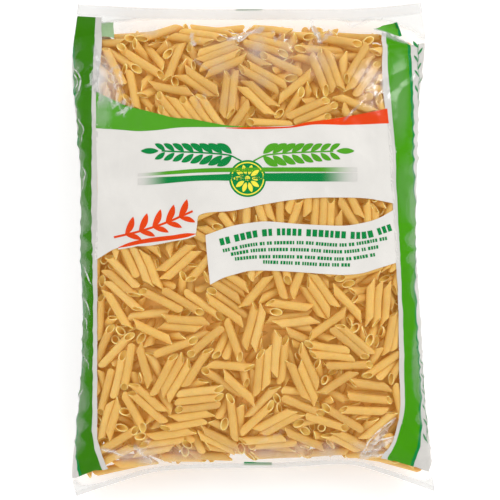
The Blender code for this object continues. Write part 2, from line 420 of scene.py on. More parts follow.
def curve_through(points, at):
    """Values at some places of a smooth curve through (place, value) points in rising order."""
    place, value = np.array(points, float).T
    last = len(place) - 1
    before = np.maximum(np.arange(last + 1) - 1, 0)
    after = np.minimum(np.arange(last + 1) + 1, last)
    slope = (value[after] - value[before]) / (place[after] - place[before])
    at = np.clip(at, place[0], place[last])
    span = np.clip(np.searchsorted(place, at, side="right") - 1, 0, last - 1)
    width = place[span + 1] - place[span]
    t = (at - place[span]) / width
    return (
        value[span] * (1 + 2 * t) * (1 - t) ** 2
        + slope[span] * width * t * (1 - t) ** 2
        + value[span + 1] * t * t * (3 - 2 * t)
        + slope[span + 1] * width * t * t * (t - 1)
    )


def line_through(points, count, smooth=True):
    """Points evenly along a smooth curve, or a line with corners, through some given ones."""
    points = np.array(points, float)
    run = np.concatenate([[0], np.cumsum(np.hypot(*np.diff(points, axis=0).T))])
    at = np.linspace(0, run[-1], count)
    if smooth:
        parts = [curve_through(np.stack([run, points[:, k]], axis=1), at) for k in (0, 1)]
    else:
        parts = [np.interp(at, run, points[:, k]) for k in (0, 1)]
    return np.stack(parts, axis=1)


def smooth_step(share):
    """Eases from 0 to 1 as share goes from 0 to 1."""
    share = np.clip(share, 0.0, 1.0)
    return share * share * (3 - 2 * share)


def wave(place, span, phase=0.0):
    """A sine wave of this span."""
    return np.sin(2 * math.pi * place / span + phase)


def waves(x, y, count, span, seed):
    """A sum of sine waves of about one span, from -1 to 1, that never repeats over the bag."""
    draw = np.random.default_rng(seed)
    total = np.zeros(np.broadcast(x, y).shape)
    for _ in range(count):
        turn = draw.uniform(0, math.pi)
        length = span * draw.uniform(0.7, 1.5)
        phase = draw.uniform(0, 2 * math.pi)
        total += wave(np.cos(turn) * x + np.sin(turn) * y, length, phase)
    return total / math.sqrt(2 * count)


def soft_patches(x, y, table):
    """The strength at x, y of each soft patch of a table."""
    for patch_x, patch_y, across, along, strength in np.array(table) * (MM, MM, MM, MM, 1):
        away = ((x - patch_x) / across) ** 2 + ((y - patch_y) / along) ** 2
        yield strength * np.exp(-(away**2))


def unit(vectors):
    """Vectors of length 1."""
    return vectors / np.maximum(np.linalg.norm(vectors, axis=-1, keepdims=True), 1e-12)


# The bag's form

def swell_along(t, c, length):
    """Share of the full thickness at t along the body, with the corners left flat as ears."""
    ear_length = np.where(t < 0.5, BOTTOM_EAR_LENGTH, TOP_EAR_LENGTH)
    ear = ear_length / length * smooth_step((np.abs(c) - EAR_START) / (1 - EAR_START))
    inside = np.clip(1 - np.abs(2 * t - 1) - 2 * ear, 0, None) / (1 - 2 * ear)
    power = np.where(t < 0.5, BOTTOM_END_POWER, TOP_END_POWER)
    return np.clip(1 - (1 - inside) ** power, 0, None) ** END_ROUNDNESS


def swell_across(c):
    """Share of the full thickness at c, from -1 at the left side to 1 at the right."""
    return np.clip(1 - np.abs(c) ** SIDE_POWER, 0, None) ** (1 / SIDE_POWER)


def lumps(x, y):
    """Soft unevenness of the filling, from -1 to 1."""
    total = 0.0
    for along_x, along_y, phase in LUMP_WAVES:
        total = total + wave(along_x * x + along_y * y, LUMP_SPAN, phase)
    return total / len(LUMP_WAVES)


def inner_lines(x):
    """Where the seal bands' inner edges lie along the bag, at x across it."""
    return curve_through(BOTTOM_EDGE, x) + BOTTOM_SEAL_DEPTH, curve_through(TOP_EDGE, x) - TOP_SEAL_DEPTH


def into_band(t, outward):
    """How far along the bag a place lies past the inner edge of its seal band."""
    return np.where(t < 0.5, -BOTTOM_SEAL_DEPTH, TOP_SEAL_DEPTH) * outward


def sides_at(t, outward):
    """The places across of the left and right sides, at t along the body and outward in a seal band."""
    low, high = LEFT_EDGE[0][0], LEFT_EDGE[-1][0]
    length = high - low - BOTTOM_SEAL_DEPTH - TOP_SEAL_DEPTH
    y = low + BOTTOM_SEAL_DEPTH + t * length + into_band(t, outward)
    return curve_through(LEFT_EDGE, y), curve_through(RIGHT_EDGE, y)


def bag_at(upper, c, t, outward):
    """Points of the bag's form. upper is True on the front, c goes across and t along it."""
    left, right = sides_at(t, outward)
    x = (left + right) / 2 + (right - left) / 2 * c
    low, high = inner_lines(x)
    y = low + (high - low) * t + into_band(t, outward)
    share = swell_across(c) * swell_along(t, c, high - low)
    relief = LUMP_HEIGHT * lumps(x, y)
    ripple = np.sin(math.pi * SEAL_WAVES * c + SEAL_PHASE) * SEAL_WAVE
    seal = SEAL_HEIGHT - SEAL_DROOP * outward + ripple * outward
    crown = (THICKNESS - LUMP_HEIGHT - SEAL_HEIGHT + relief) * share
    belly = (BELLY_SAG * SEAL_HEIGHT + relief) * share
    half_gap = SEAL_GAP / 2
    z = seal + np.where(upper, crown + half_gap, -belly - half_gap)
    return np.stack([x, y, np.maximum(z, BELLY_LIFT)], axis=-1)


def shares_at(x, y):
    """The place across, along and outward that lies at x, y seen from above."""
    low, high = inner_lines(x)
    t = (y - low) / (high - low)
    outward = np.clip(np.maximum((low - y) / BOTTOM_SEAL_DEPTH, (y - high) / TOP_SEAL_DEPTH), 0, 1)
    left, right = sides_at(np.clip(t, 0, 1), outward)
    return (x - (left + right) / 2) / ((right - left) / 2), t, outward


def even_places(heights, spans, count):
    """Places from 0 to 1 that lie evenly along a profile of these heights over these spans."""
    run = np.hypot(np.diff(spans), np.diff(heights))
    along = np.concatenate([[0], np.cumsum(run)])
    share = np.linspace(0, 1, len(along))
    return np.interp(np.linspace(0, along[-1], count), along, share)


def film_grid():
    """The film's smooth form: rows along it, and columns round it from the right side over the front."""
    if "grid" in work:
        return work["grid"]
    fine = 0.5 - 0.5 * np.cos(np.linspace(0, math.pi, PROFILE_POINTS))
    inner_low, inner_high = inner_lines(0.0)
    length = inner_high - inner_low
    rise = THICKNESS - SEAL_HEIGHT
    share = even_places(rise * swell_along(fine, 0.0, length), length * fine, BODY_ROWS + 1)
    t_body = np.interp(share, np.linspace(0, 1, len(fine)), fine)
    band = np.arange(1, SEAL_ROWS + 1) / SEAL_ROWS
    t = np.concatenate([np.zeros(SEAL_ROWS), t_body, np.ones(SEAL_ROWS)])[:, None]
    outward = np.concatenate([band[::-1], np.zeros(BODY_ROWS + 1), band])[:, None]
    half_width = (HIGH.x - LOW.x) / 2
    across = 1 - 2 * fine
    columns = []
    for height in (rise, BELLY_SAG * SEAL_HEIGHT):
        share = even_places(height * swell_across(across), half_width * across, HALF_RING + 1)
        columns.append(np.interp(share, np.linspace(0, 1, len(fine)), across))
    rounded = np.concatenate([columns[0], -columns[1][1:]])[None, :]
    step = np.linspace(0, 1, HALF_RING + 1)
    even = np.concatenate([1 - 2 * step, 2 * step[1:] - 1])[None, :]
    roundness = np.minimum(1.0, ROUNDED_BY * swell_along(t, 0.0, length))
    c = even + (rounded - even) * roundness
    upper = (np.arange(RING + 1) <= HALF_RING)[None, :]
    points = bag_at(upper, c, t, outward)
    points[:, RING] = points[:, 0]
    run = np.linalg.norm(np.diff(points, axis=1), axis=2)
    arc = np.concatenate([np.zeros((len(t), 1)), np.cumsum(run, axis=1)], axis=1)
    station = np.where(t < 0.5, t - outward, t + outward)[:, 0]
    share = (swell_across(c) * swell_along(t, c, length))[:, :RING]
    depth = share * np.where(upper[:, :RING], THICKNESS - SEAL_HEIGHT, BELLY_SAG * SEAL_HEIGHT)
    work["grid"] = {"points": points[:, :RING], "c": c, "arc": arc, "station": station, "depth": depth}
    return work["grid"]


def neighbours(values):
    """A grid's values one step over in each of four ways. It closes round its second axis."""
    before = np.concatenate([values[:1], values[:-1]])
    after = np.concatenate([values[1:], values[-1:]])
    return [before, after, np.roll(values, 1, axis=1), np.roll(values, -1, axis=1)]


def outward_normals(points):
    """Unit normals of a grid of points that closes round its second axis."""
    round_it = np.roll(points, -1, axis=1) - np.roll(points, 1, axis=1)
    along_it = np.gradient(points, axis=0)
    return unit(np.cross(along_it, round_it))


# Meshes

def new_piece(name, points, faces, material, smooth=True):
    """An object from points and four-cornered faces."""
    mesh = bpy.data.meshes.new(name)
    mesh.vertices.add(len(points))
    mesh.vertices.foreach_set("co", np.asarray(points, np.float32).ravel())
    faces = np.asarray(faces, np.int32)
    mesh.loops.add(faces.size)
    mesh.loops.foreach_set("vertex_index", faces.ravel())
    mesh.polygons.add(len(faces))
    mesh.polygons.foreach_set("loop_start", np.arange(0, faces.size, 4, dtype=np.int32))
    mesh.update(calc_edges=True)
    if smooth:
        mesh.shade_smooth()
    mesh.materials.append(material)
    piece = bpy.data.objects.new(name, mesh)
    bpy.context.scene.collection.objects.link(piece)
    return piece


def write_values(piece, name, values):
    """One number for each vertex, that the piece's material reads by name."""
    attribute = piece.data.attributes.new(name, "FLOAT", "POINT")
    attribute.data.foreach_set("value", np.asarray(values, np.float32).ravel())


def grid_faces(rows, columns, closed=False, flip=False):
    """Faces of a grid of rows by columns points."""
    row = np.arange(rows - 1)[:, None]
    column = np.arange(columns if closed else columns - 1)[None, :]
    after = (column + 1) % columns
    corners = [row * columns + column, row * columns + after]
    corners += [(row + 1) * columns + after, (row + 1) * columns + column]
    if flip:
        corners = corners[::-1]
    return np.stack(np.broadcast_arrays(*corners), axis=-1).reshape(-1, 4)


def finish_piece(piece):
    """Hangs a piece on the bag and hides the bag's solid."""
    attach(piece, "root")
    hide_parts(NODE)
    return piece


# The space inside the bag

def inside_field():
    """A lattice of distances to the bag's form, below zero inside it, with their slopes."""
    if "field" in work:
        return work["field"]
    points = film_grid()["points"][::FIELD_SKIP, ::FIELD_SKIP]
    faces = grid_faces(*points.shape[:2], closed=True)
    skin = BVHTree.FromPolygons(points.reshape(-1, 3).tolist(), faces.tolist())
    margin = 2 * FIELD_PITCH
    start = np.array(LOW) - margin
    counts = np.ceil((np.array(HIGH) + margin - start) / FIELD_PITCH).astype(int) + 1
    axes = [start[k] + FIELD_PITCH * np.arange(counts[k]) for k in range(3)]
    lattice = np.stack(np.meshgrid(*axes, indexing="ij"), axis=-1).reshape(-1, 3)
    distance = np.array([skin.find_nearest(place)[3] for place in lattice.tolist()])
    x, y, z = lattice.T
    c, t, _ = shares_at(x, y)
    inside = (np.abs(c) < 1) & (t > 0) & (t < 1)
    c, t = np.clip(c, -1, 1), np.clip(t, 0, 1)
    inside &= (z < bag_at(True, c, t, 0.0)[:, 2]) & (z > bag_at(False, c, t, 0.0)[:, 2])
    distance = np.where(inside, -distance, distance).reshape(counts)
    slopes = np.stack(np.gradient(distance, FIELD_PITCH), axis=-1)
    values = np.concatenate([distance[..., None], slopes], axis=-1)
    work["field"] = {"values": values, "start": start}
    return work["field"]


def field_at(points):
    """The distance and its slope at some points, from the lattice round each of them."""
    field = inside_field()
    values = field["values"]
    place = (points - field["start"]) / FIELD_PITCH
    limit = np.array(values.shape[:3]) - 2
    cell = np.clip(np.floor(place).astype(int), 0, limit)
    part = np.clip(place - cell, 0, 1)
    total = 0.0
    for corner in range(8):
        step = np.array([corner & 1, corner >> 1 & 1, corner >> 2 & 1])
        weight = np.prod(np.where(step, part, 1 - part), axis=-1)
        at = cell + step
        total = total + weight[..., None] * values[at[..., 0], at[..., 1], at[..., 2]]
    return total[..., 0], unit(total[..., 1:])


# Packing the quills

def close_pairs(a, b, reach):
    """Pairs of quills whose axes may come nearer than reach."""
    middle = ((a + b) / 2).astype(np.float32)
    half = float(np.linalg.norm(b - a, axis=1).max()) / 2
    first, second = [], []
    square = (middle**2).sum(1)
    for k in range(0, len(middle), PAIR_BLOCK):
        block = slice(k, k + PAIR_BLOCK)
        gap = square[block, None] + square[None, :] - 2 * middle[block] @ middle.T
        i, j = np.nonzero(gap < (2 * half + reach) ** 2)
        i = i + k
        keep = i < j
        first.append(i[keep])
        second.append(j[keep])
    i, j = np.concatenate(first), np.concatenate(second)
    near = nearest_between(a[i], b[i], a[j], b[j])[3] < reach
    return i[near], j[near]


def nearest_between(a1, b1, a2, b2):
    """Where two straight axes are nearest: the shares along them, and the unit gap and its length."""
    d1, d2, apart = b1 - a1, b2 - a2, a1 - a2
    aa, bb, ab = (d1 * d1).sum(1), (d2 * d2).sum(1), (d1 * d2).sum(1)
    ca, cb = (d1 * apart).sum(1), (d2 * apart).sum(1)
    spread = aa * bb - ab * ab
    s = np.where(spread > 1e-3 * aa * bb, (ab * cb - ca * bb) / np.maximum(spread, 1e-18), 0.5)
    s = np.clip(s, 0, 1)
    t = np.clip((ab * s + cb) / bb, 0, 1)
    s = np.clip((ab * t - ca) / aa, 0, 1)
    gap = (a1 + s[:, None] * d1) - (a2 + t[:, None] * d2)
    length = np.linalg.norm(gap, axis=1)
    return s, t, gap / np.maximum(length, 1e-9)[:, None], length


def gather(index, moves, count):
    """Sums of the moves that each quill gets."""
    return np.stack([np.bincount(index, moves[:, k], count) for k in range(3)], axis=1)


def scattered_quills(draw, sizes, radius):
    """Middles, headings and half lengths of quills strewn in the layer under the film."""
    half = sizes.quill_length / 2 - TIP_SHARE * radius
    field = inside_field()
    depth = -field["values"][..., 0]
    cells = np.argwhere((depth > radius) & (depth < HEAP_DEPTH - radius))
    chosen = cells[draw.choice(len(cells), sizes.quill_count, replace=False)]
    middle = field["start"] + FIELD_PITCH * (chosen + draw.uniform(-0.5, 0.5, chosen.shape))
    normal = field_at(middle)[1]
    heading = draw.normal(size=middle.shape)
    heading -= LAID_FLAT * (heading * normal).sum(1, keepdims=True) * normal
    return middle, unit(heading), half * draw.uniform(*LENGTHS, len(middle))[:, None]


def push_apart(a, b, i, j, grown):
    """Moves the ends of quills that cut each other, in place."""
    count = len(a)
    s, t, way, gap = nearest_between(a[i], b[i], a[j], b[j])
    hit = gap < 2 * grown
    s, t, way = s[hit][:, None], t[hit][:, None], way[hit]
    push = 0.5 * (2 * grown - gap[hit])[:, None] * way
    hi, hj = i[hit], j[hit]
    share_i = (1 - s) ** 2 + s**2
    share_j = (1 - t) ** 2 + t**2
    met = np.bincount(hi, minlength=count) + np.bincount(hj, minlength=count)
    ease = (PUSH_SHARE / np.maximum(1.0, 0.5 * met))[:, None]
    a += ease * (gather(hi, push * (1 - s) / share_i, count) - gather(hj, push * (1 - t) / share_j, count))
    b += ease * (gather(hi, push * s / share_i, count) - gather(hj, push * t / share_j, count))


def loose_enough(a, b, radius):
    """Which quills stay: those well inside the film that don't cut another one deeply."""
    keep = np.maximum(field_at(a)[0], field_at(b)[0]) < -LEAST_DEPTH * radius
    i, j = close_pairs(a, b, 2 * radius)
    gap = nearest_between(a[i], b[i], a[j], b[j])[3]
    inner = field_at((a + b) / 2)[0]
    for k in np.argsort(gap):
        if gap[k] > 2 * radius - MOST_OVERLAP:
            break
        if keep[i[k]] and keep[j[k]]:
            keep[i[k] if inner[i[k]] < inner[j[k]] else j[k]] = False
    return keep


def packed_quills(sizes):
    """Axis ends of quills that fill a layer under the film without cutting each other."""
    draw = np.random.default_rng(SEED)
    radius = sizes.quill_diameter / 2
    middle, heading, halves = scattered_quills(draw, sizes, radius)
    a, b = middle - heading * halves, middle + heading * halves
    lid_x, lid_y = np.array(HEAP_TOP, float).T * MM
    for step in range(PACK_STEPS):
        grown = radius * min(1.0, 0.5 + 0.5 * step / GROW_STEPS)
        if step % PAIR_STEPS == 0:
            i, j = close_pairs(a, b, 2 * radius + PAIR_REACH)
        push_apart(a, b, i, j, grown)
        press = PRESS * smooth_step((PACK_STEPS - RELAX_STEPS - step) / RELAX_STEPS)
        middle = (a + b) / 2
        for ends in (a, b, middle):
            distance, slope = field_at(ends)
            ends += press * slope
            ends -= np.clip(distance + grown + QUILL_CLEARANCE, 0, None)[:, None] * slope
            lid = np.interp(ends[:, 0], lid_x, lid_y) - grown
            ends[:, 1] = np.minimum(ends[:, 1], lid)
        middle = (a + b + 2 * middle) / 4
        heading = unit(b - a)
        a, b = middle - heading * halves, middle + heading * halves
    keep = loose_enough(a, b, radius)
    return a[keep], b[keep]


def quill_mesh(name, a, b, sides, sizes, material):
    """One joined mesh of hollow quills with slanted cut ends."""
    draw = np.random.default_rng(SEED + sides)
    radius = sizes.quill_diameter / 2
    count = len(a)
    turn = 2 * math.pi * np.arange(sides) / sides
    middle, heading = (a + b) / 2, unit(b - a)
    side_way = unit(np.cross(heading, field_at(middle)[1]))
    other_way = np.cross(heading, side_way)
    share = draw.uniform(-1, 1, count)
    roll = math.pi / 2 * np.sign(share) * np.abs(share) ** CUT_SIDEWAYS + math.pi * draw.integers(0, 2, count)
    cos_roll, sin_roll = np.cos(roll)[:, None], np.sin(roll)[:, None]
    side_way, other_way = (cos_roll * side_way + sin_roll * other_way,
                           cos_roll * other_way - sin_roll * side_way)
    slant = radius * np.tan(np.radians(draw.uniform(*CUT_ANGLES, count)))
    straight = np.linalg.norm(b - a, axis=1) / 2 + TIP_SHARE * radius - slant
    bend = draw.uniform(0.0, MOST_BEND, count)
    bend_turn = draw.uniform(0, 2 * math.pi, count)
    flat = draw.uniform(0.0, MOST_FLAT, count)
    rings = []
    for size in (radius, radius - sizes.quill_wall):
        for place in (-1.0, 0.0, 1.0):
            along = place * straight[:, None] + slant[:, None] * np.cos(turn)[None, :]
            pinch = 1 + flat[:, None] * (1 if place else MIDDLE_FLAT)
            sag = bend * (1 - abs(place))
            across = size * np.cos(turn)[None, :] * pinch + (sag * np.cos(bend_turn))[:, None]
            up = size * np.sin(turn)[None, :] / pinch + (sag * np.sin(bend_turn))[:, None]
            ring = middle[:, None] + along[..., None] * heading[:, None]
            ring = ring + across[..., None] * side_way[:, None] + up[..., None] * other_way[:, None]
            rings.append(ring)
    # The outer and the inner skin, and then the rims with points of their own, for a crisp cut
    points = np.stack([rings[k] for k in (0, 1, 2, 3, 4, 5, 0, 3, 2, 5)], axis=1)
    here = np.arange(sides)
    after = (here + 1) % sides
    strips = []
    for low, high, flip in ((0, 1, 1), (1, 2, 1), (3, 4, -1), (4, 5, -1), (6, 7, -1), (8, 9, 1)):
        corners = [low * sides + here, low * sides + after, high * sides + after, high * sides + here]
        strips.append(np.stack(corners[::flip], axis=1))
    faces = np.concatenate(strips)
    per_quill = points.shape[1] * sides
    faces = (faces[None] + per_quill * np.arange(count)[:, None, None]).reshape(-1, 4)
    piece = new_piece(name, points.reshape(-1, 3), faces, material)
    write_values(piece, "tint", np.repeat(draw.uniform(0, 1, count), per_quill))
    for value, some_rings in (("cut", slice(6, 10)), ("bore", slice(3, 6))):
        values = np.zeros((count, points.shape[1], sides))
        values[:, some_rings] = 1.0
        write_values(piece, value, values)
    return piece


# The film, wrapped over the quills

def line_relief(x, y, lines, sharp):
    """Height of folds, or of sharp ridges, that run along straight lines."""
    total = np.zeros(x.shape)
    for x0, y0, x1, y1, height, half_width in np.array(lines) * MM:
        run_x, run_y = x1 - x0, y1 - y0
        length = math.hypot(run_x, run_y)
        along = ((x - x0) * run_x + (y - y0) * run_y) / length**2
        off = ((y - y0) * run_x - (x - x0) * run_y) / length
        fade = smooth_step(4 * along + 0.5) * smooth_step(4 * (1 - along) + 0.5)
        profile = np.exp(-np.abs(off) / half_width) if sharp else np.exp(-((off / half_width) ** 2))
        total += height * fade * profile
    return total


def pleats(c, front, from_seal):
    """Gathers that run out of both seals, with finer ones between them."""
    wide = np.sin(math.pi * WIDE_PLEATS * c + 0.8 * np.sin(math.pi * 3.1 * c + 1.0))
    fine = np.sin(math.pi * FINE_PLEATS * c + 2.1 * front + 1.3 * np.sin(5.1 * c))
    fade = smooth_step(1 - from_seal / PLEAT_REACH) * smooth_step(from_seal / PLEAT_START)
    return PLEAT_HEIGHT * (wide + FINE_SHARE * fine) * fade


def scallops(x, y, c, arc, from_seal):
    """Slanted folds one above the other down both sides."""
    side = smooth_step((np.abs(c) - SCALLOP_START) / 0.12)
    from_middle = arc[:, :RING] - arc[:, HALF_RING // 2][:, None]
    slanted = y + SCALLOP_LEAN * np.where(x < 0, -1, 1) * from_middle
    arch = 1 - np.abs(wave(slanted, SCALLOP_SPAN, 1.4 * wave(y, 0.11)))
    return SCALLOP_HEIGHT * (1.6 * arch - 0.5) * side * smooth_step(from_seal / 0.02)


def side_sheen(x, y, c, from_seal):
    """Painted sheen of the folds down both sides, with a streak along each arched rim, and the soft painted
    sheens.
    """
    swing = 0.65 + 0.35 * wave(y, 0.19, 1.0)
    arch = np.abs(np.sin(math.pi * y / 0.030 + 0.9 * wave(y, 0.09) + (x < 0)))
    past_rim = np.abs(c) - (0.990 - 0.058 * swing * arch)
    sheen = 0.42 * smooth_step(past_rim / 0.022) + 0.35 * np.exp(-((past_rim / 0.008) ** 2))
    sheen *= smooth_step(from_seal / END_REACH - 0.1)
    return np.maximum.reduce([sheen, *soft_patches(x, y, SHEENS)])


def loose_relief(points, c, arc, station):
    """Pleats, scallops, folds and a fine crinkle, in metres outwards, and how strongly sheen and glints are
    painted there.
    """
    x, y = points[..., 0], points[..., 1]
    from_top = np.clip((1 - station)[:, None], 0, None) * TOP_RUN
    from_low = np.clip(station[:, None], 0, None) * LOW_RUN
    from_seal = np.minimum(from_top, from_low)
    front = np.arange(RING)[None, :] <= HALF_RING
    relief = pleats(c, front, from_seal) + scallops(x, y, c, arc, from_seal)
    rough = CRINKLE_HEIGHT + CRINKLE_RISE * smooth_step(1 - from_seal / END_REACH)
    relief = relief + rough * waves(arc[:, :RING], y, 9, CRINKLE_SPAN, 5)
    ridges = np.where(front, line_relief(x, y, RIDGES, True), 0.0)
    folds = np.where(front, line_relief(x, y, FOLDS, False), 0.0)
    crushed = sum(soft_patches(x, y, CRUSHED)) * front
    facets = waves(x, y, 7, FACET_SPAN, 11)
    relief = relief + FACET_HEIGHT * crushed * np.abs(facets)
    # Painted sheen and glints: along the ridges, near the seals, on the crushed facets and down the sides
    shine = smooth_step(ridges / 0.0012) + 0.15 * smooth_step(1 - from_seal / 0.03)
    shine = shine + 1.1 * crushed * smooth_step((facets + 0.1) / 0.4)
    shine = np.maximum(shine, side_sheen(x, y, c, from_seal) * front)
    return relief + ridges + folds, np.clip(shine, 0, 1)


def room_under(points, normals, quill_objects):
    """How far the quills lie under each point of the film."""
    corners, faces, start = [], [], 0
    for piece in quill_objects:
        mesh = piece.data
        co = np.empty(len(mesh.vertices) * 3, np.float32)
        mesh.vertices.foreach_get("co", co)
        corner = np.empty(len(mesh.loops), np.int32)
        mesh.loops.foreach_get("vertex_index", corner)
        corners.append(co.reshape(-1, 3))
        faces.append(corner.reshape(-1, 4) + start)
        start += len(mesh.vertices)
    heap = BVHTree.FromPolygons(np.concatenate(corners).tolist(), np.concatenate(faces).tolist())
    rows, columns = points.shape[:2]
    room = np.full((rows, columns), RAY_REACH)
    origins = points + RAY_LIFT * normals
    for row in range(SEAL_ROWS, rows - SEAL_ROWS):
        for column in range(columns):
            hit = heap.ray_cast(Vector(origins[row, column]), Vector(-normals[row, column]), RAY_REACH)
            if hit[3] is not None:
                room[row, column] = hit[3] - RAY_LIFT
    return np.minimum.reduce([room, *neighbours(room)])


def wrapped_film(quill_objects):
    """The final film: its points and normals, how far the quills lie under each point, and its painted sheen
    and glints.
    """
    grid = film_grid()
    points = grid["points"]
    normals = outward_normals(points)
    room = room_under(points, normals, quill_objects)
    slack = np.clip(room - QUILL_CLEARANCE, -MOST_BULGE, MOST_SAG)
    ends = np.r_[:SEAL_ROWS, len(points) - SEAL_ROWS : len(points)]
    slack[ends] = 0
    sag = np.zeros(room.shape)
    for _ in range(SAG_STEPS):
        sag = np.minimum(slack, sum(neighbours(sag)) / 4 + SAG_PULL)
    relief, shine = loose_relief(points, grid["c"][:, :RING], grid["arc"], grid["station"])
    shift = np.maximum(relief - sag, QUILL_CLEARANCE - room)
    shift = np.maximum(shift, -INWARD_SHARE * grid["depth"])
    shift[ends] = 0
    final = points + shift[..., None] * normals
    final[..., 2] = np.maximum(final[..., 2], BELLY_LIFT)
    gap = np.where(room < RAY_REACH, room + shift, RAY_REACH)
    return {"points": final, "normals": outward_normals(final), "gap": gap, "shine": shine}


def film_veil(film):
    """How milky the film is: where it stands off the quills, in hazy patches, and along the seals."""
    near = film["gap"]
    rows, columns = near.shape
    for _ in range(VEIL_SPREAD):
        near = np.minimum.reduce([near, *neighbours(near)])
    veil = smooth_step((near - VEIL_START) / VEIL_RISE)
    for _ in range(VEIL_BLUR):
        veil = (veil + sum(neighbours(veil))) / 5
    x, y = film["points"][..., 0], film["points"][..., 1]
    window = []
    for line in (WINDOW_LEFT, WINDOW_RIGHT):
        across, along = np.array(line[::-1], float).T * MM
        window.append(np.interp(y, along, across))
    front = np.arange(columns)[None, :] <= HALF_RING
    cloud = 0.75 + 0.5 * waves(x, y, 6, 0.03, 17)
    for haze in soft_patches(x, y, HAZES):
        veil = np.maximum(veil, haze * cloud * front)
    veil *= np.where(front, (x > window[0]) & (x < window[1]), np.abs(x) > BACK_BAND * MM)
    veil[:SEAL_ROWS] = SEAL_VEIL
    veil[rows - SEAL_ROWS :] = SEAL_VEIL
    return veil


# Finding places on the film

def columns_at(c, rows, upper):
    """Columns, with fractions, of the places across that these are in their rows."""
    table = film_grid()["c"]
    low = np.clip(np.floor(rows).astype(int), 0, len(table) - 2)
    part = rows - low
    found = np.empty(len(c))
    steps = np.arange(HALF_RING + 1)
    for row in np.unique(low):
        here = low == row
        both = []
        for line in (table[row], table[row + 1]):
            if upper:
                both.append(np.interp(-c[here], -line[: HALF_RING + 1], steps))
            else:
                both.append(np.interp(c[here], line[HALF_RING:], HALF_RING + steps))
        found[here] = both[0] + (both[1] - both[0]) * part[here]
    return found


def grid_places(plan, upper=True):
    """(column, row) of points that are given by their place seen from above, in millimetres."""
    x, y = np.array(plan, float).T * MM
    c, t, outward = shares_at(x, y)
    c, t = np.clip(c, -1, 1), np.clip(t, 0, 1)
    station = np.where(t < 0.5, t - outward, t + outward)
    rows = np.interp(station, film_grid()["station"], np.arange(len(film_grid()["station"])))
    return np.stack([columns_at(c, rows, upper), rows], axis=1)


def walk(places, distance):
    """Places this far round the bag from others, in metres. Columns rise from right to left in front."""
    arc = film_grid()["arc"]
    rows = np.clip(np.rint(places[:, 1]).astype(int), 0, len(arc) - 1)
    steps = np.arange(-RING, 2 * RING + 1)
    moved = np.empty(len(places))
    distance = np.broadcast_to(distance, len(places))
    for k, row in enumerate(rows):
        girth = arc[row, RING]
        lengths = np.concatenate([arc[row, :RING] - girth, arc[row, :RING], arc[row] + girth])
        here = np.interp(places[k, 0], steps, lengths)
        moved[k] = np.interp(here + distance[k], lengths, steps)
    return np.stack([moved, places[:, 1]], axis=1)


def on_film(places, depth):
    """Points this deep inside the film's outer face."""
    film = work["film"]
    rows = film["points"].shape[0]
    column = np.floor(places[..., 0]).astype(int)
    row = np.clip(np.floor(places[..., 1]).astype(int), 0, rows - 2)
    u = (places[..., 0] - column)[..., None]
    v = np.clip(places[..., 1] - row, 0, 1)[..., None]
    left, right = column % RING, (column + 1) % RING
    blended = []
    for values in (film["points"], film["normals"]):
        low = values[row, left] * (1 - u) + values[row, right] * u
        high = values[row + 1, left] * (1 - u) + values[row + 1, right] * u
        blended.append(low * (1 - v) + high * v)
    return blended[0] - depth * unit(blended[1])


class Ink:
    """Gathers printed fields of one colour into one piece. Its places are millimetres, seen from above."""

    def __init__(self, depth):
        self.depth = depth
        self.points = []
        self.faces = []
        self.fades = []
        self.count = 0

    def band(self, edge_a, edge_b, columns, fade=0.0):
        """A field between two edges of grid places, with this many steps from one to the other."""
        share = np.linspace(0, 1, columns + 1)[None, :, None]
        places = edge_a[:, None] * (1 - share) + edge_b[:, None] * share
        rows = len(edge_a)
        self.faces.append(grid_faces(rows, columns + 1) + self.count)
        self.points.append(on_film(places, self.depth).reshape(-1, 3))
        self.fades.append(np.repeat(np.broadcast_to(fade, rows), columns + 1))
        self.count += rows * (columns + 1)

    def shape(self, side_a, side_b, count, columns, upper=True, smooth=True, fade=0.0):
        """A field between two edges."""
        edges = [grid_places(line_through(side, count, smooth), upper) for side in (side_a, side_b)]
        self.band(*edges, columns, fade)

    def leaf(self, x, y, length, width, angle, bend=0.0, grow=0.0, columns=4):
        """A pointed leaf or kernel about its middle, at an angle in degrees, grown outwards by some."""
        share = np.linspace(0, 1, 13)
        along = (share - 0.5) * (length + 2 * grow)
        half = (width / 2 + grow) * np.sin(math.pi * share) ** LEAF_POWER
        middle = bend * (1 - (2 * share - 1) ** 2)
        turn = math.radians(angle)
        sides = []
        for across in (middle + half, middle - half):
            sides.append(grid_places(np.stack([
                x + along * math.cos(turn) - across * math.sin(turn),
                y + along * math.sin(turn) + across * math.cos(turn),
            ], axis=1)))
        self.band(*sides, columns)

    def bar(self, line, width, upper=True, columns=3):
        """A bar along a line, of one width or one for each point."""
        step = np.gradient(line, axis=0)
        off = np.stack([-step[:, 1], step[:, 0]], axis=1)
        off = off / np.hypot(*off.T)[:, None] * np.reshape(width, (-1, 1)) / 2
        self.band(grid_places(line + off, upper), grid_places(line - off, upper), columns)

    def piece(self, name, slot, material):
        """The finished piece."""
        made = new_piece(name, np.concatenate(self.points), np.concatenate(self.faces), material)
        write_values(made, "fade", np.concatenate(self.fades))
        return finish_piece(made)

    def print_piece(self, name, slot, looks, colour=None, shade=1.0, glow=0.0):
        """The finished piece in its slot's ink or another colour, made darker or lighter."""
        colour = scaled(colour or getattr(looks, slot), shade)
        self.piece(name, slot, ink_material(name, colour, looks, glow))


# Materials

def node_tree(name):
    """A new material with its node tree and its Principled node."""
    material = bpy.data.materials.new(name)
    material.use_nodes = True
    tree = material.node_tree
    return material, tree, tree.nodes["Principled BSDF"]


def noise(tree, scale, detail=3.0):
    """A noise texture of this many cells a metre."""
    source = tree.nodes.new("ShaderNodeTexCoord")
    texture = tree.nodes.new("ShaderNodeTexNoise")
    texture.inputs["Scale"].default_value = scale
    texture.inputs["Detail"].default_value = detail
    tree.links.new(source.outputs["Object"], texture.inputs["Vector"])
    return texture.outputs["Fac"]


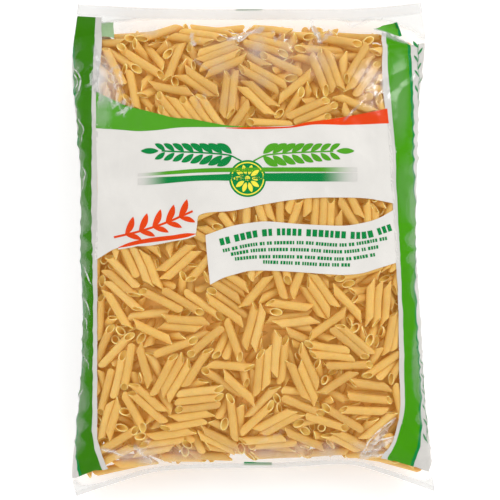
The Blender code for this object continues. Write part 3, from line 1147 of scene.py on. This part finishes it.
def ramp(tree, factor, stops):
    """A colour ramp over (place, colour) stops."""
    node = tree.nodes.new("ShaderNodeValToRGB")
    while len(node.color_ramp.elements) < len(stops):
        node.color_ramp.elements.new(0.5)
    for element, (place, colour) in zip(node.color_ramp.elements, stops):
        element.position = place
        element.color = (*colour, 1.0)
    tree.links.new(factor, node.inputs["Fac"])
    return node.outputs["Color"]


def mixed(tree, factor, first, second, blend="MIX"):
    """Two colours mixed by a factor. Each colour may be a socket."""
    node = tree.nodes.new("ShaderNodeMix")
    node.data_type = "RGBA"
    node.blend_type = blend
    tree.links.new(factor, node.inputs[0])
    for socket, value in ((node.inputs[6], first), (node.inputs[7], second)):
        if isinstance(value, bpy.types.NodeSocket):
            tree.links.new(value, socket)
        else:
            socket.default_value = (*value, 1.0)
    return node.outputs[2]


def value_named(tree, name):
    """The number that the mesh holds for each point under a name."""
    node = tree.nodes.new("ShaderNodeAttribute")
    node.attribute_name = name
    return node.outputs["Fac"]


def remapped(tree, value, low, high, new_low, new_high):
    """A value moved from one range to another, and held inside it."""
    node = tree.nodes.new("ShaderNodeMapRange")
    node.interpolation_type = "SMOOTHSTEP"
    tree.links.new(value, node.inputs["Value"])
    for socket, number in zip(("From Min", "From Max", "To Min", "To Max"), (low, high, new_low, new_high)):
        node.inputs[socket].default_value = number
    return node.outputs["Result"]


def larger(tree, first, second):
    """The larger of two values."""
    node = tree.nodes.new("ShaderNodeMath")
    node.operation = "MAXIMUM"
    tree.links.new(first, node.inputs[0])
    tree.links.new(second, node.inputs[1])
    return node.outputs["Value"]


def bumped(tree, shader, height, distance, strength):
    """Relief of this height in metres on a shader."""
    node = tree.nodes.new("ShaderNodeBump")
    node.inputs["Distance"].default_value = distance
    node.inputs["Strength"].default_value = strength
    tree.links.new(height, node.inputs["Height"])
    tree.links.new(node.outputs["Normal"], shader.inputs["Normal"])


def glowing(shader, colour, strength):
    """Painted light: a little glow of its own, for what the stage's light would shine through."""
    shader.inputs["Emission Color"].default_value = (*colour, 1.0)
    shader.inputs["Emission Strength"].default_value = strength


def scaled(colour, share):
    """A colour made darker or lighter."""
    return tuple(min(1.0, part * share) for part in colour)


def pasta_material(looks):
    """Dry pasta: a matt amber skin that varies from quill to quill, pale cut rims, and a bore painted lighter
    than the skin as painted light.
    """
    material, tree, shader = node_tree("dry_pasta")
    base = tuple(looks.pasta)
    palest = (base[0] * 1.08, base[1] * 1.14, base[2] * 1.35)
    stops = ((0.0, scaled(base, 0.86)), (0.45, base), (0.8, scaled(base, 1.06)), (1.0, palest))
    skin = ramp(tree, value_named(tree, "tint"), stops)
    cloud = remapped(tree, noise(tree, 90, 3), 0.35, 0.65, 0.0, 1.0)
    skin = mixed(tree, cloud, skin, scaled((1.0, 1.0, 1.0), 0.93), "MULTIPLY")
    speck = remapped(tree, noise(tree, 1400, 2), 0.62, 0.72, 0.0, 0.30)
    skin = mixed(tree, speck, skin, tuple(looks.pasta_rim))
    # The bore is painted lighter than the skin: painted light against the shade inside it
    skin = mixed(tree, value_named(tree, "bore"), skin, tuple(looks.pasta_bore))
    skin = mixed(tree, value_named(tree, "cut"), skin, tuple(looks.pasta_rim))
    tree.links.new(skin, shader.inputs["Base Color"])
    rough = remapped(tree, noise(tree, 500, 2), 0.3, 0.7, 0.42, 0.58)
    tree.links.new(rough, shader.inputs["Roughness"])
    # Painted light: a faint amber glow for light that comes through the quills, which lifts the shade between
    # them
    glowing(shader, looks.pasta_glow, 0.08)
    shader.inputs["Subsurface Weight"].default_value = 0.45
    shader.inputs["Subsurface Radius"].default_value = (1.0, 0.55, 0.20)
    shader.inputs["Subsurface Scale"].default_value = 0.006
    shader.inputs["Specular IOR Level"].default_value = 0.30
    bumped(tree, shader, noise(tree, 900, 3), 0.0002, 0.5)
    return material


def core_material(looks):
    """The shaded pasta deep between the quills."""
    material, tree, shader = node_tree("deep_pasta")
    base = tuple(looks.pasta_deep)
    colour = ramp(tree, noise(tree, 60, 4), ((0.3, scaled(base, 0.75)), (0.7, scaled(base, 1.2))))
    tree.links.new(colour, shader.inputs["Base Color"])
    shader.inputs["Roughness"].default_value = 0.7
    # Painted light: a glow that lifts the shaded pasta in the gaps
    glowing(shader, looks.pasta_glow, 0.15)
    bumped(tree, shader, noise(tree, 120, 3), 0.003, 0.6)
    return material


def film_material(looks):
    """Clear film: a faint mirror over what is under it, and milky where it stands off or is sealed. It glows
    a little where milky, as painted light, and its mirror is stronger where it shines, as painted sheen and
    glints.
    """
    material, tree, shader = node_tree("clear_film")
    shader.inputs["Base Color"].default_value = (*looks.film, 1.0)
    veil = value_named(tree, "veil")
    clear = remapped(tree, veil, 0.0, 1.0, looks.film_mirror, 0.82)
    # Painted sheen and glints: where the film shines, its mirror is made stronger
    shine = remapped(tree, value_named(tree, "shine"), 0.0, 1.0, 0.0, 0.45)
    tree.links.new(larger(tree, clear, shine), shader.inputs["Alpha"])
    tree.links.new(remapped(tree, veil, 0.05, 0.6, 1.0, 0.0), shader.inputs["Metallic"])
    # Painted light: the milky film glows a little, the more so the milkier it is
    glowing(shader, looks.film, 0.0)
    tree.links.new(remapped(tree, veil, 0.3, 1.0, 0.0, 0.28), shader.inputs["Emission Strength"])
    rough = remapped(tree, noise(tree, 55, 3), 0.35, 0.7, 0.10, 0.24)
    tree.links.new(rough, shader.inputs["Roughness"])
    bumped(tree, shader, noise(tree, 160, 4), 0.0006, 0.35)
    return material


def pinch_highlight_material(looks):
    """Painted highlight on the edge of pinched film: glossy, half clear, and glowing a little as painted
    light.
    """
    material, tree, shader = node_tree("pinched_film")
    shader.inputs["Base Color"].default_value = (*scaled(looks.film, 1.25), 1.0)
    tree.links.new(remapped(tree, noise(tree, 180, 2), 0.35, 0.65, 0.15, 0.62), shader.inputs["Alpha"])
    glowing(shader, looks.film, 0.15)
    shader.inputs["Roughness"].default_value = 0.16
    return material


def ink_material(name, colour, looks, glow):
    """Print on film: one colour with a faint unevenness, white where it fades, lit a little from behind."""
    material, tree, shader = node_tree(name)
    cloud = remapped(tree, noise(tree, 22, 3), 0.3, 0.7, 0.0, 1.0)
    shade = mixed(tree, cloud, scaled(colour, 0.95), scaled(colour, 1.04))
    grain = remapped(tree, noise(tree, 700, 2), 0.35, 0.7, 0.0, 0.10)
    shade = mixed(tree, grain, shade, scaled(colour, 0.88))
    shade = mixed(tree, value_named(tree, "fade"), shade, tuple(looks.ink_white))
    tree.links.new(shade, shader.inputs["Base Color"])
    rough = remapped(tree, noise(tree, 60, 3), 0.3, 0.7, 0.26, 0.40)
    tree.links.new(rough, shader.inputs["Roughness"])
    # Painted light: the ink glows by as much as it is given, for light that would come through the film from
    # behind
    glowing(shader, colour, glow)
    shader.inputs["Specular IOR Level"].default_value = 0.06
    bumped(tree, shader, noise(tree, 140, 3), 0.0005, 0.25)
    return material


# What a user would change

def length_of(name, description, default, low, high):
    """A length that a user may change."""
    return FloatProperty(
        name=name, description=description, default=default, min=low, max=high, unit="LENGTH",
        subtype="DISTANCE",
    )


def colour_of(name, description, default):
    """A colour that a user may change."""
    return FloatVectorProperty(
        name=name, description=description, default=default, size=3, min=0.0, max=1.0, subtype="COLOR",
    )


class PacketSizes(bpy.types.PropertyGroup):
    """Sizes of the filling and the view."""

    quill_length: length_of("Quill length", "From tip to tip of a quill", 0.0485, 0.03, 0.06)
    quill_diameter: length_of("Quill diameter", "Outer diameter of a quill", 0.0085, 0.005, 0.012)
    quill_wall: length_of("Quill wall", "Thickness of a quill's wall", 0.0012, 0.0005, 0.003)
    quill_count: IntProperty(
        name="Quills", description="Quills laid in the layer under the film", default=1900, min=200, max=3000,
    )
    view_height: length_of("Camera height", "Height of the camera above the floor", 6.0, 1.0, 20.0)
    view_width: length_of("View width", "Width that the picture takes in at the bag", 0.5, 0.3, 2.0)


class PacketColours(bpy.types.PropertyGroup):
    """Colours of the film, the print and the pasta."""

    pasta: colour_of("Pasta", "Skin of a quill", (0.735, 0.430, 0.118))
    pasta_rim: colour_of("Cut rim", "Cut edge of a quill", (0.90, 0.69, 0.29))
    pasta_bore: colour_of("Bore", "Inside of a quill", (0.80, 0.52, 0.13))
    pasta_deep: colour_of("Deep pasta", "Pasta in the gaps between quills", (0.80, 0.48, 0.17))
    # Painted light: the colour of the glow of the quills and the deep pasta
    pasta_glow: colour_of("Pasta glow", "Light that comes through the quills", (0.88, 0.50, 0.06))
    film: colour_of("Film", "Tint of the clear film", (0.72, 0.715, 0.70))
    ink_white: colour_of("White print", "The white fields", (0.655, 0.635, 0.60))
    ink_green: colour_of("Green print", "The side bands and the back's edges", (0.045, 0.25, 0.001))
    ink_light_green: colour_of("Light green print", "The left sweep, light stripe and right ear",
                               (0.082, 0.345, 0.018))
    ink_deep_green: colour_of("Deep green print", "Thin lines, small blocks and the deep stripe",
                              (0.004, 0.23, 0.05))
    ink_red: colour_of("Red print", "The right sweep, the sprig and its stroke", (0.76, 0.058, 0.006))
    ink_yellow: colour_of("Yellow print", "Kernels of the badge", (0.90, 0.80, 0.07))
    film_mirror: FloatProperty(
        name="Film mirror", description="Share of light that the clear film reflects", default=0.005,
        min=0.0, max=1.0, subtype="FACTOR",
    )


# Operators

class PACKET_OT_quills(bpy.types.Operator):
    """Packs the quills under the film and makes them"""

    bl_idname = "packet.quills"
    bl_label = "Quills"

    def execute(self, context):
        sizes = context.scene.packet_sizes
        a, b = packed_quills(sizes)
        upper = field_at((a + b) / 2)[1][:, 2] > UNDER_TURN
        material = pasta_material(context.scene.packet_colours)
        work["quills"] = []
        for name, which, sides in (("pasta_quills_upper", upper, UPPER_SIDES),
                                   ("pasta_quills_under", ~upper, UNDER_SIDES)):
            piece = quill_mesh(name, a[which], b[which], sides, sizes, material)
            work["quills"].append(finish_piece(piece))
        return {"FINISHED"}


class PACKET_OT_core(bpy.types.Operator):
    """Makes the closed core of pasta under the loose quills"""

    bl_idname = "packet.core"
    bl_label = "Core"

    def execute(self, context):
        middle = np.array([0.0, 0.0, 0.5 * SEAL_HEIGHT + 0.25 * THICKNESS])
        rise = np.linspace(-math.pi / 2, math.pi / 2, CORE_ROWS)[:, None]
        turn = np.linspace(0, 2 * math.pi, CORE_COLUMNS, endpoint=False)[None, :]
        size = np.array(HIGH - LOW) / 2
        way = np.stack([
            size[0] * np.cos(rise) * np.cos(turn),
            size[1] * np.cos(rise) * np.sin(turn),
            size[2] * np.sin(rise) * np.ones_like(turn),
        ], axis=-1)
        low = np.zeros((CORE_ROWS, CORE_COLUMNS))
        high = np.full((CORE_ROWS, CORE_COLUMNS), CORE_REACH)
        for _ in range(CORE_HALVINGS):
            half = (low + high) / 2
            inside = field_at(middle + half[..., None] * way)[0] < -CORE_DEPTH
            low, high = np.where(inside, half, low), np.where(inside, high, half)
        points = middle + low[..., None] * way
        faces = grid_faces(CORE_ROWS, CORE_COLUMNS, closed=True)
        material = core_material(context.scene.packet_colours)
        finish_piece(new_piece("pasta_core", points.reshape(-1, 3), faces, material))
        return {"FINISHED"}


class PACKET_OT_film(bpy.types.Operator):
    """Wraps the clear film over the quills"""

    bl_idname = "packet.film"
    bl_label = "Film"

    def execute(self, context):
        if "quills" not in work:
            raise RuntimeError("the film needs the quills first")
        film = wrapped_film(work["quills"])
        work["film"] = film
        faces = grid_faces(*film["points"].shape[:2], closed=True, flip=True)
        material = film_material(context.scene.packet_colours)
        piece = new_piece("bag_film", film["points"].reshape(-1, 3), faces, material)
        write_values(piece, "veil", film_veil(film))
        write_values(piece, "shine", film["shine"])
        finish_piece(piece)
        return {"FINISHED"}


class PACKET_OT_pinches(bpy.types.Operator):
    """Lays thin painted highlights on the film where it is pinched"""

    bl_idname = "packet.pinches"
    bl_label = "Pinched edges"

    def execute(self, context):
        bright = Ink(PINCH_DEPTH)
        taper = np.sin(math.pi * np.linspace(0.02, 0.98, PINCH_POINTS)) ** 0.7
        for points, width in PINCH_HIGHLIGHTS:
            bright.bar(line_through(points, PINCH_POINTS), width * taper, columns=2)
        bright.piece("film_pinches", "clear_film", pinch_highlight_material(context.scene.packet_colours))
        return {"FINISHED"}


# The print's motifs

def block_row(ink, line, height, draw, upper=True):
    """A row of small plain blocks in groups, along a line."""
    line = line_through(line, BLOCK_POINTS)
    run = np.concatenate([[0], np.cumsum(np.hypot(*np.diff(line, axis=0).T))])
    place, left = 0.0, draw.integers(*GROUP_SIZES)
    while place < run[-1] - 0.4 * height:
        end = min(place + height * draw.uniform(*BLOCK_WIDTHS), run[-1])
        at = np.linspace(place, end, 3)
        ink.bar(np.stack([np.interp(at, run, line[:, k]) for k in (0, 1)], axis=1), height, upper, 2)
        left -= 1
        place = end + (BLOCK_GAP if left else GROUP_GAP) * height
        left = left or draw.integers(*GROUP_SIZES)


def wheat_ear(ink, way):
    """An ear of wheat that lies along the front, with its tip to the left (-1) or the right (1)."""
    start = BADGE[0] + way * EAR_START_X
    length = EAR_STEP * EAR_ROWS
    stem = [(start - 6 * way, EAR_Y - 9), (start + 8 * way, EAR_Y - 3), (start + way * length, EAR_Y + 1)]
    ink.bar(line_through(stem[::way], 60), EAR_STEM_WIDTH)
    for k in range(EAR_ROWS):
        x = start + way * (11 + EAR_STEP * k)
        y = EAR_Y - 3 + 4 * k / EAR_ROWS
        size = 1 - KERNEL_SHRINK * k
        for side in (-1, 1):
            tilt = KERNEL_TILT * side
            ink.leaf(x, y + side * 6.2 * size, KERNEL[0] * size, KERNEL[1] * size,
                     tilt if way > 0 else 180 - tilt, bend=KERNEL_BEND * side * way)
    ink.leaf(start + way * (12 + length), EAR_Y + 1, KERNEL[0], 0.8 * KERNEL[1], 0.0)


def badge(edge, disc, yellow):
    """A round badge with a flower of kernels and a thin ring."""
    turn = np.linspace(0, 2 * math.pi, 121)
    circle = np.stack([np.cos(turn), np.sin(turn)], axis=1)
    rings = [(edge, 0.05, BADGE_RADIUS + BADGE_EDGE), (disc, 0.05, BADGE_RADIUS)]
    for ink, inner, outer in rings + [(yellow, *ring) for ring in BADGE_RINGS]:
        ink.band(grid_places(BADGE + inner * circle), grid_places(BADGE + outer * circle), 20)
    for angle in np.arange(0, 360, 360 // PETALS):
        way = math.radians(angle)
        x, y = BADGE[0] + PETAL_PLACE * math.cos(way), BADGE[1] + PETAL_PLACE * math.sin(way)
        yellow.leaf(x, y, *PETAL, angle, columns=6)


def sprig(edge, red):
    """A sprig over a brush stroke, each with a white edge."""
    grown = np.array([0.0, BRUSH_EDGE])
    edge.shape(np.array(BRUSH_TOP) + grown, np.array(BRUSH_LOW) - grown, 60, 6)
    red.shape(BRUSH_TOP, BRUSH_LOW, 60, 4)
    stem = line_through(SPRIG_STEM, 60)
    for ink, grow in ((edge, BRUSH_EDGE), (red, 0.0)):
        ink.bar(stem, SPRIG_STEM_WIDTH + 2 * grow, columns=4)
        for node in SPRIG_NODES:
            for right, up, length, width, angle, bend in SPRIG_LEAVES:
                x, y = stem[node] + (right, up)
                ink.leaf(x, y, length, width, angle, bend=bend, grow=grow, columns=6)


def side_border(ink):
    """Sprigs of small leaves down the white film of the right side, where they follow its bend."""
    along_edge, across_edge = np.array(STRIPE_RIGHT_OUT[::-1], float).T[::-1]

    def on_side(along, off):
        """Grid places this far along the bag and this far round the film from the deep line."""
        line = np.stack([np.interp(along, along_edge, across_edge), along], axis=1)
        return walk(grid_places(line), -np.broadcast_to(off, len(along)) * MM)

    share = np.linspace(0, 1, 9)
    length, half_width, lean = BORDER_LEAF
    for top, low in SIDE_BORDERS:
        stem = np.linspace(top, low, 60)
        ink.band(on_side(stem, BORDER_OFF - BORDER_STEM / 2), on_side(stem, BORDER_OFF + BORDER_STEM / 2), 1)
        for k, place in enumerate(np.arange(top - 4, low, -BORDER_STEP)):
            way = 1 if k % 2 else -1
            along = place + length * share
            middle = BORDER_OFF + way * (0.6 + lean * share)
            half = half_width * np.sin(math.pi * share) ** LEAF_POWER
            ink.band(on_side(along, middle - half), on_side(along, middle + half), 3)


class PACKET_OT_print_bands(bpy.types.Operator):
    """Prints the green bands down both sides, and the white film beside and round them"""

    bl_idname = "packet.print_bands"
    bl_label = "Side bands"

    def execute(self, context):
        looks = context.scene.packet_colours
        white, deep, left_green, right_green = (
            Ink(depth) for depth in (WHITE_DEPTH, DETAIL_DEPTH, COLOUR_DEPTH, COLOUR_DEPTH)
        )
        left = [grid_places(line_through(line, BAND_STEPS, False)) for line in (WINDOW_LEFT, STRIPE_LEFT)]
        left.append(walk(left[1], STRIPE_WIDTH))
        right = [grid_places(line_through(line, BAND_STEPS))
                 for line in (WINDOW_RIGHT, STRIPE_RIGHT, STRIPE_RIGHT_OUT)]
        share = np.linspace(0, 1, BAND_STEPS)
        ends = smooth_step(10 * np.minimum(share, 1 - share))
        reach = SIDE_WIDTH * (SIDE_END_SHARE + (1 - SIDE_END_SHARE) * ends)
        for way, green, (window, inner, outer) in ((1, left_green, left), (-1, right_green, right)):
            white.band(window, walk(inner, way * OVERLAP), 4)
            white.band(walk(outer, -way * OVERLAP), walk(outer, way * reach), 32)
            green.band(inner, outer, 14)
            deep.band(walk(outer, -way * LINE_WIDTH), outer, 2)
        # The sides' white is darkened as painted shade of the flanks
        white.print_piece("print_white_sides", "ink_white", looks, shade=SIDE_WHITE_PAINTED_SHADE)
        # One green ink, darker on the left as painted shade and lighter on the right as painted light
        left_green.print_piece("print_green_left", "ink_green", looks, shade=LEFT_BAND_PAINTED_SHADE)
        right_green.print_piece("print_green_right", "ink_green", looks, shade=RIGHT_BAND_PAINTED_LIGHT)
        deep.print_piece("print_deep_lines", "ink_deep_green", looks)
        return {"FINISHED"}


class PACKET_OT_print_front(bpy.types.Operator):
    """Prints the white panel and ribbon and the two sweeps over them"""

    bl_idname = "packet.print_front"
    bl_label = "Front panel"

    def execute(self, context):
        looks = context.scene.packet_colours
        white, green, red = Ink(WHITE_DEPTH), Ink(COLOUR_DEPTH), Ink(COLOUR_DEPTH)
        white.shape(PANEL_TOP, PANEL_LOW, 170, 64)
        white.shape(RIBBON_TOP, RIBBON_LOW, 110, 28)
        green.shape(SWEEP_GREEN_TOP, SWEEP_GREEN_LOW, 90, 14)
        red.shape(SWEEP_RED_TOP, SWEEP_RED_LOW, 90, 8)
        white.print_piece("print_white_front", "ink_white", looks, glow=WHITE_PAINTED_GLOW)
        green.print_piece("print_green_sweep", "ink_green", looks, looks.ink_light_green)
        red.print_piece("print_red_sweep", "ink_red", looks)
        return {"FINISHED"}


class PACKET_OT_print_marks(bpy.types.Operator):
    """Prints the stripes, ears, badge, sprig, rows of blocks, end marks, folded corner and border"""

    bl_idname = "packet.print_marks"
    bl_label = "Front marks"

    def execute(self, context):
        looks = context.scene.packet_colours
        draw = np.random.default_rng(SEED + 7)
        light, deep, red, yellow = (Ink(DETAIL_DEPTH) for _ in range(4))
        edge, disc = Ink(EDGE_DEPTH), Ink(DISC_DEPTH)
        share = np.linspace(0, 1, STRIPE_STEPS)
        fade = 1 - smooth_step(share / STRIPE_FADES[0]) * smooth_step((1 - share) / STRIPE_FADES[1])
        light.shape(STRIPE_LIGHT_TOP, STRIPE_LIGHT_LOW, STRIPE_STEPS, 3, fade=fade)
        deep.shape(STRIPE_DEEP_TOP, STRIPE_DEEP_LOW, STRIPE_STEPS, 4, fade=fade)
        wheat_ear(deep, -1)
        wheat_ear(light, 1)
        badge(edge, disc, yellow)
        sprig(edge, red)
        for line, height in BLOCK_LINES:
            block_row(deep, line, height, draw)
        for ink, (left, right, width) in ((deep, TOP_MARK), (deep, LOW_DEEP_MARK), (light, LOW_LIGHT_MARK)):
            ink.bar(line_through((left, right), 12, smooth=False), width)
        for ink, (top, low), paler in ((light, FOLDED_CORNER, 0.0), (deep, FOLDED_LINE, 0.0),
                                       (light, CORNER_BLOCK, CORNER_FADE)):
            ink.shape(top, low, 24, 6, smooth=False, fade=paler)
        side_border(deep)
        edge.print_piece("print_white_edges", "ink_white", looks, glow=WHITE_PAINTED_GLOW)
        disc.print_piece("print_badge", "ink_deep_green", looks)
        light.print_piece("print_light_marks", "ink_green", looks, looks.ink_light_green)
        deep.print_piece("print_deep_marks", "ink_deep_green", looks)
        red.print_piece("print_red_marks", "ink_red", looks)
        yellow.print_piece("print_kernels", "ink_yellow", looks)
        return {"FINISHED"}


class PACKET_OT_print_back(bpy.types.Operator):
    """Prints the back: a white field with green edges and rows of small blocks, and its lap seam"""

    bl_idname = "packet.print_back"
    bl_label = "Back"

    def execute(self, context):
        looks = context.scene.packet_colours
        draw = np.random.default_rng(SEED + 9)
        white, green, deep, seam = Ink(WHITE_DEPTH), Ink(COLOUR_DEPTH), Ink(DETAIL_DEPTH), Ink(SEAM_DEPTH)
        fields = [(white, (-BACK_BAND, BACK_BAND), 40)]
        fields += [(green, span, 4) for span in BACK_GREENS]
        fields += [(deep, span, 2) for span in BACK_LINES]
        for ink, (left, right), columns in fields + [(seam, BACK_SEAM, 6)]:
            sides = [((x, BACK_LOW), (x, BACK_HIGH)) for x in (left, right)]
            ink.shape(*sides, BACK_STEPS, columns, upper=False, smooth=False)
        for top, rows in BACK_BLOCKS:
            for row in range(rows):
                y = top - BACK_PITCH * row
                for left, right in BACK_COLUMNS:
                    size = BACK_HEADING if rows == 1 else BACK_SIZE
                    reach = right if row < rows - 1 else left + BACK_LAST * (right - left)
                    block_row(deep, ((left, y), (reach, y)), size, draw, upper=False)
        white.print_piece("print_white_back", "ink_white", looks, glow=WHITE_PAINTED_GLOW)
        green.print_piece("print_green_back", "ink_green", looks)
        deep.print_piece("print_deep_back", "ink_deep_green", looks)
        seam.print_piece("back_lap_seam", "ink_white", looks, glow=WHITE_PAINTED_GLOW)
        return {"FINISHED"}


def stage_floor():
    """The pale floor."""
    material, tree, shader = node_tree("stage_floor")
    shade = mixed(tree, noise(tree, 3, 2), (0.96, 0.96, 0.96), (0.98, 0.98, 0.98))
    tree.links.new(shade, shader.inputs["Base Color"])
    shader.inputs["Roughness"].default_value = 0.9
    glowing(shader, (1.0, 1.0, 1.0), FLOOR_GLOW)
    corners = FLOOR_HALF * np.array([(-1, -1, 0), (1, -1, 0), (1, 1, 0), (-1, 1, 0)])
    new_piece("stage_floor", corners, [[0, 1, 2, 3]], material, smooth=False)


def studio_world():
    """A white room that is a little dimmer overhead."""
    world = bpy.data.worlds.new("studio")
    world.use_nodes = True
    tree = world.node_tree
    source = tree.nodes.new("ShaderNodeTexCoord")
    parts = tree.nodes.new("ShaderNodeSeparateXYZ")
    tree.links.new(source.outputs["Generated"], parts.inputs["Vector"])
    tree.nodes["Background"].inputs["Color"].default_value = (1.0, 1.0, 1.0, 1.0)
    strength = remapped(tree, parts.outputs["Z"], 0.60, 0.95, 1.0, 0.55)
    tree.links.new(strength, tree.nodes["Background"].inputs["Strength"])
    return world


class PACKET_OT_stage(bpy.types.Operator):
    """Sets the pale floor, the soft lights and the camera straight above"""

    bl_idname = "packet.stage"
    bl_label = "Stage"

    def execute(self, context):
        scene = context.scene
        sizes = scene.packet_sizes
        stage_floor()
        scene.world = studio_world()
        for name, place, size, power in LIGHTS:
            light = bpy.data.lights.new(name, "AREA")
            light.energy = power
            light.size = size
            lamp = bpy.data.objects.new(name, light)
            lamp.location = place
            aim = Vector(AIM) - Vector(place)
            lamp.rotation_euler = aim.to_track_quat("-Z", "Y").to_euler()
            scene.collection.objects.link(lamp)
        camera = bpy.data.cameras.new("camera")
        camera.sensor_width = SENSOR
        camera.lens = SENSOR * (sizes.view_height - VIEW_LEVEL) / sizes.view_width
        camera.clip_end = FAR_CLIP
        view = bpy.data.objects.new("camera", camera)
        view.location = (*CAMERA_PLACE, sizes.view_height)
        scene.collection.objects.link(view)
        scene.camera = view
        scene.view_settings.view_transform = "Standard"
        return {"FINISHED"}


STEPS = ("quills", "core", "film", "pinches", "print_bands", "print_front", "print_marks", "print_back",
         "stage")


class PACKET_PT_looks(bpy.types.Panel):
    """Lists the steps that make the packet's looks"""

    bl_label = "Pasta Packet"
    bl_idname = "PACKET_PT_looks"
    bl_space_type = "VIEW_3D"
    bl_region_type = "UI"
    bl_category = "Pasta Packet"

    def draw(self, context):
        for step in STEPS:
            self.layout.operator("packet." + step)
        for group in (context.scene.packet_sizes, context.scene.packet_colours):
            column = self.layout.column()
            for name in group.bl_rna.properties.keys():
                if name not in ("rna_type", "name"):
                    column.prop(group, name)


CLASSES = (
    PacketSizes,
    PacketColours,
    PACKET_OT_quills,
    PACKET_OT_core,
    PACKET_OT_film,
    PACKET_OT_pinches,
    PACKET_OT_print_bands,
    PACKET_OT_print_front,
    PACKET_OT_print_marks,
    PACKET_OT_print_back,
    PACKET_OT_stage,
    PACKET_PT_looks,
)


def register():
    """Adds the classes and their settings to Blender."""
    for item in CLASSES:
        bpy.utils.register_class(item)
    bpy.types.Scene.packet_sizes = PointerProperty(type=PacketSizes)
    bpy.types.Scene.packet_colours = PointerProperty(type=PacketColours)


def unregister():
    """Takes them away again."""
    del bpy.types.Scene.packet_colours
    del bpy.types.Scene.packet_sizes
    for item in reversed(CLASSES):
        bpy.utils.unregister_class(item)


def main():
    """Makes every piece in order."""
    register()
    for step in STEPS:
        getattr(bpy.ops.packet, step)()


if __name__ == "__main__":
    main()
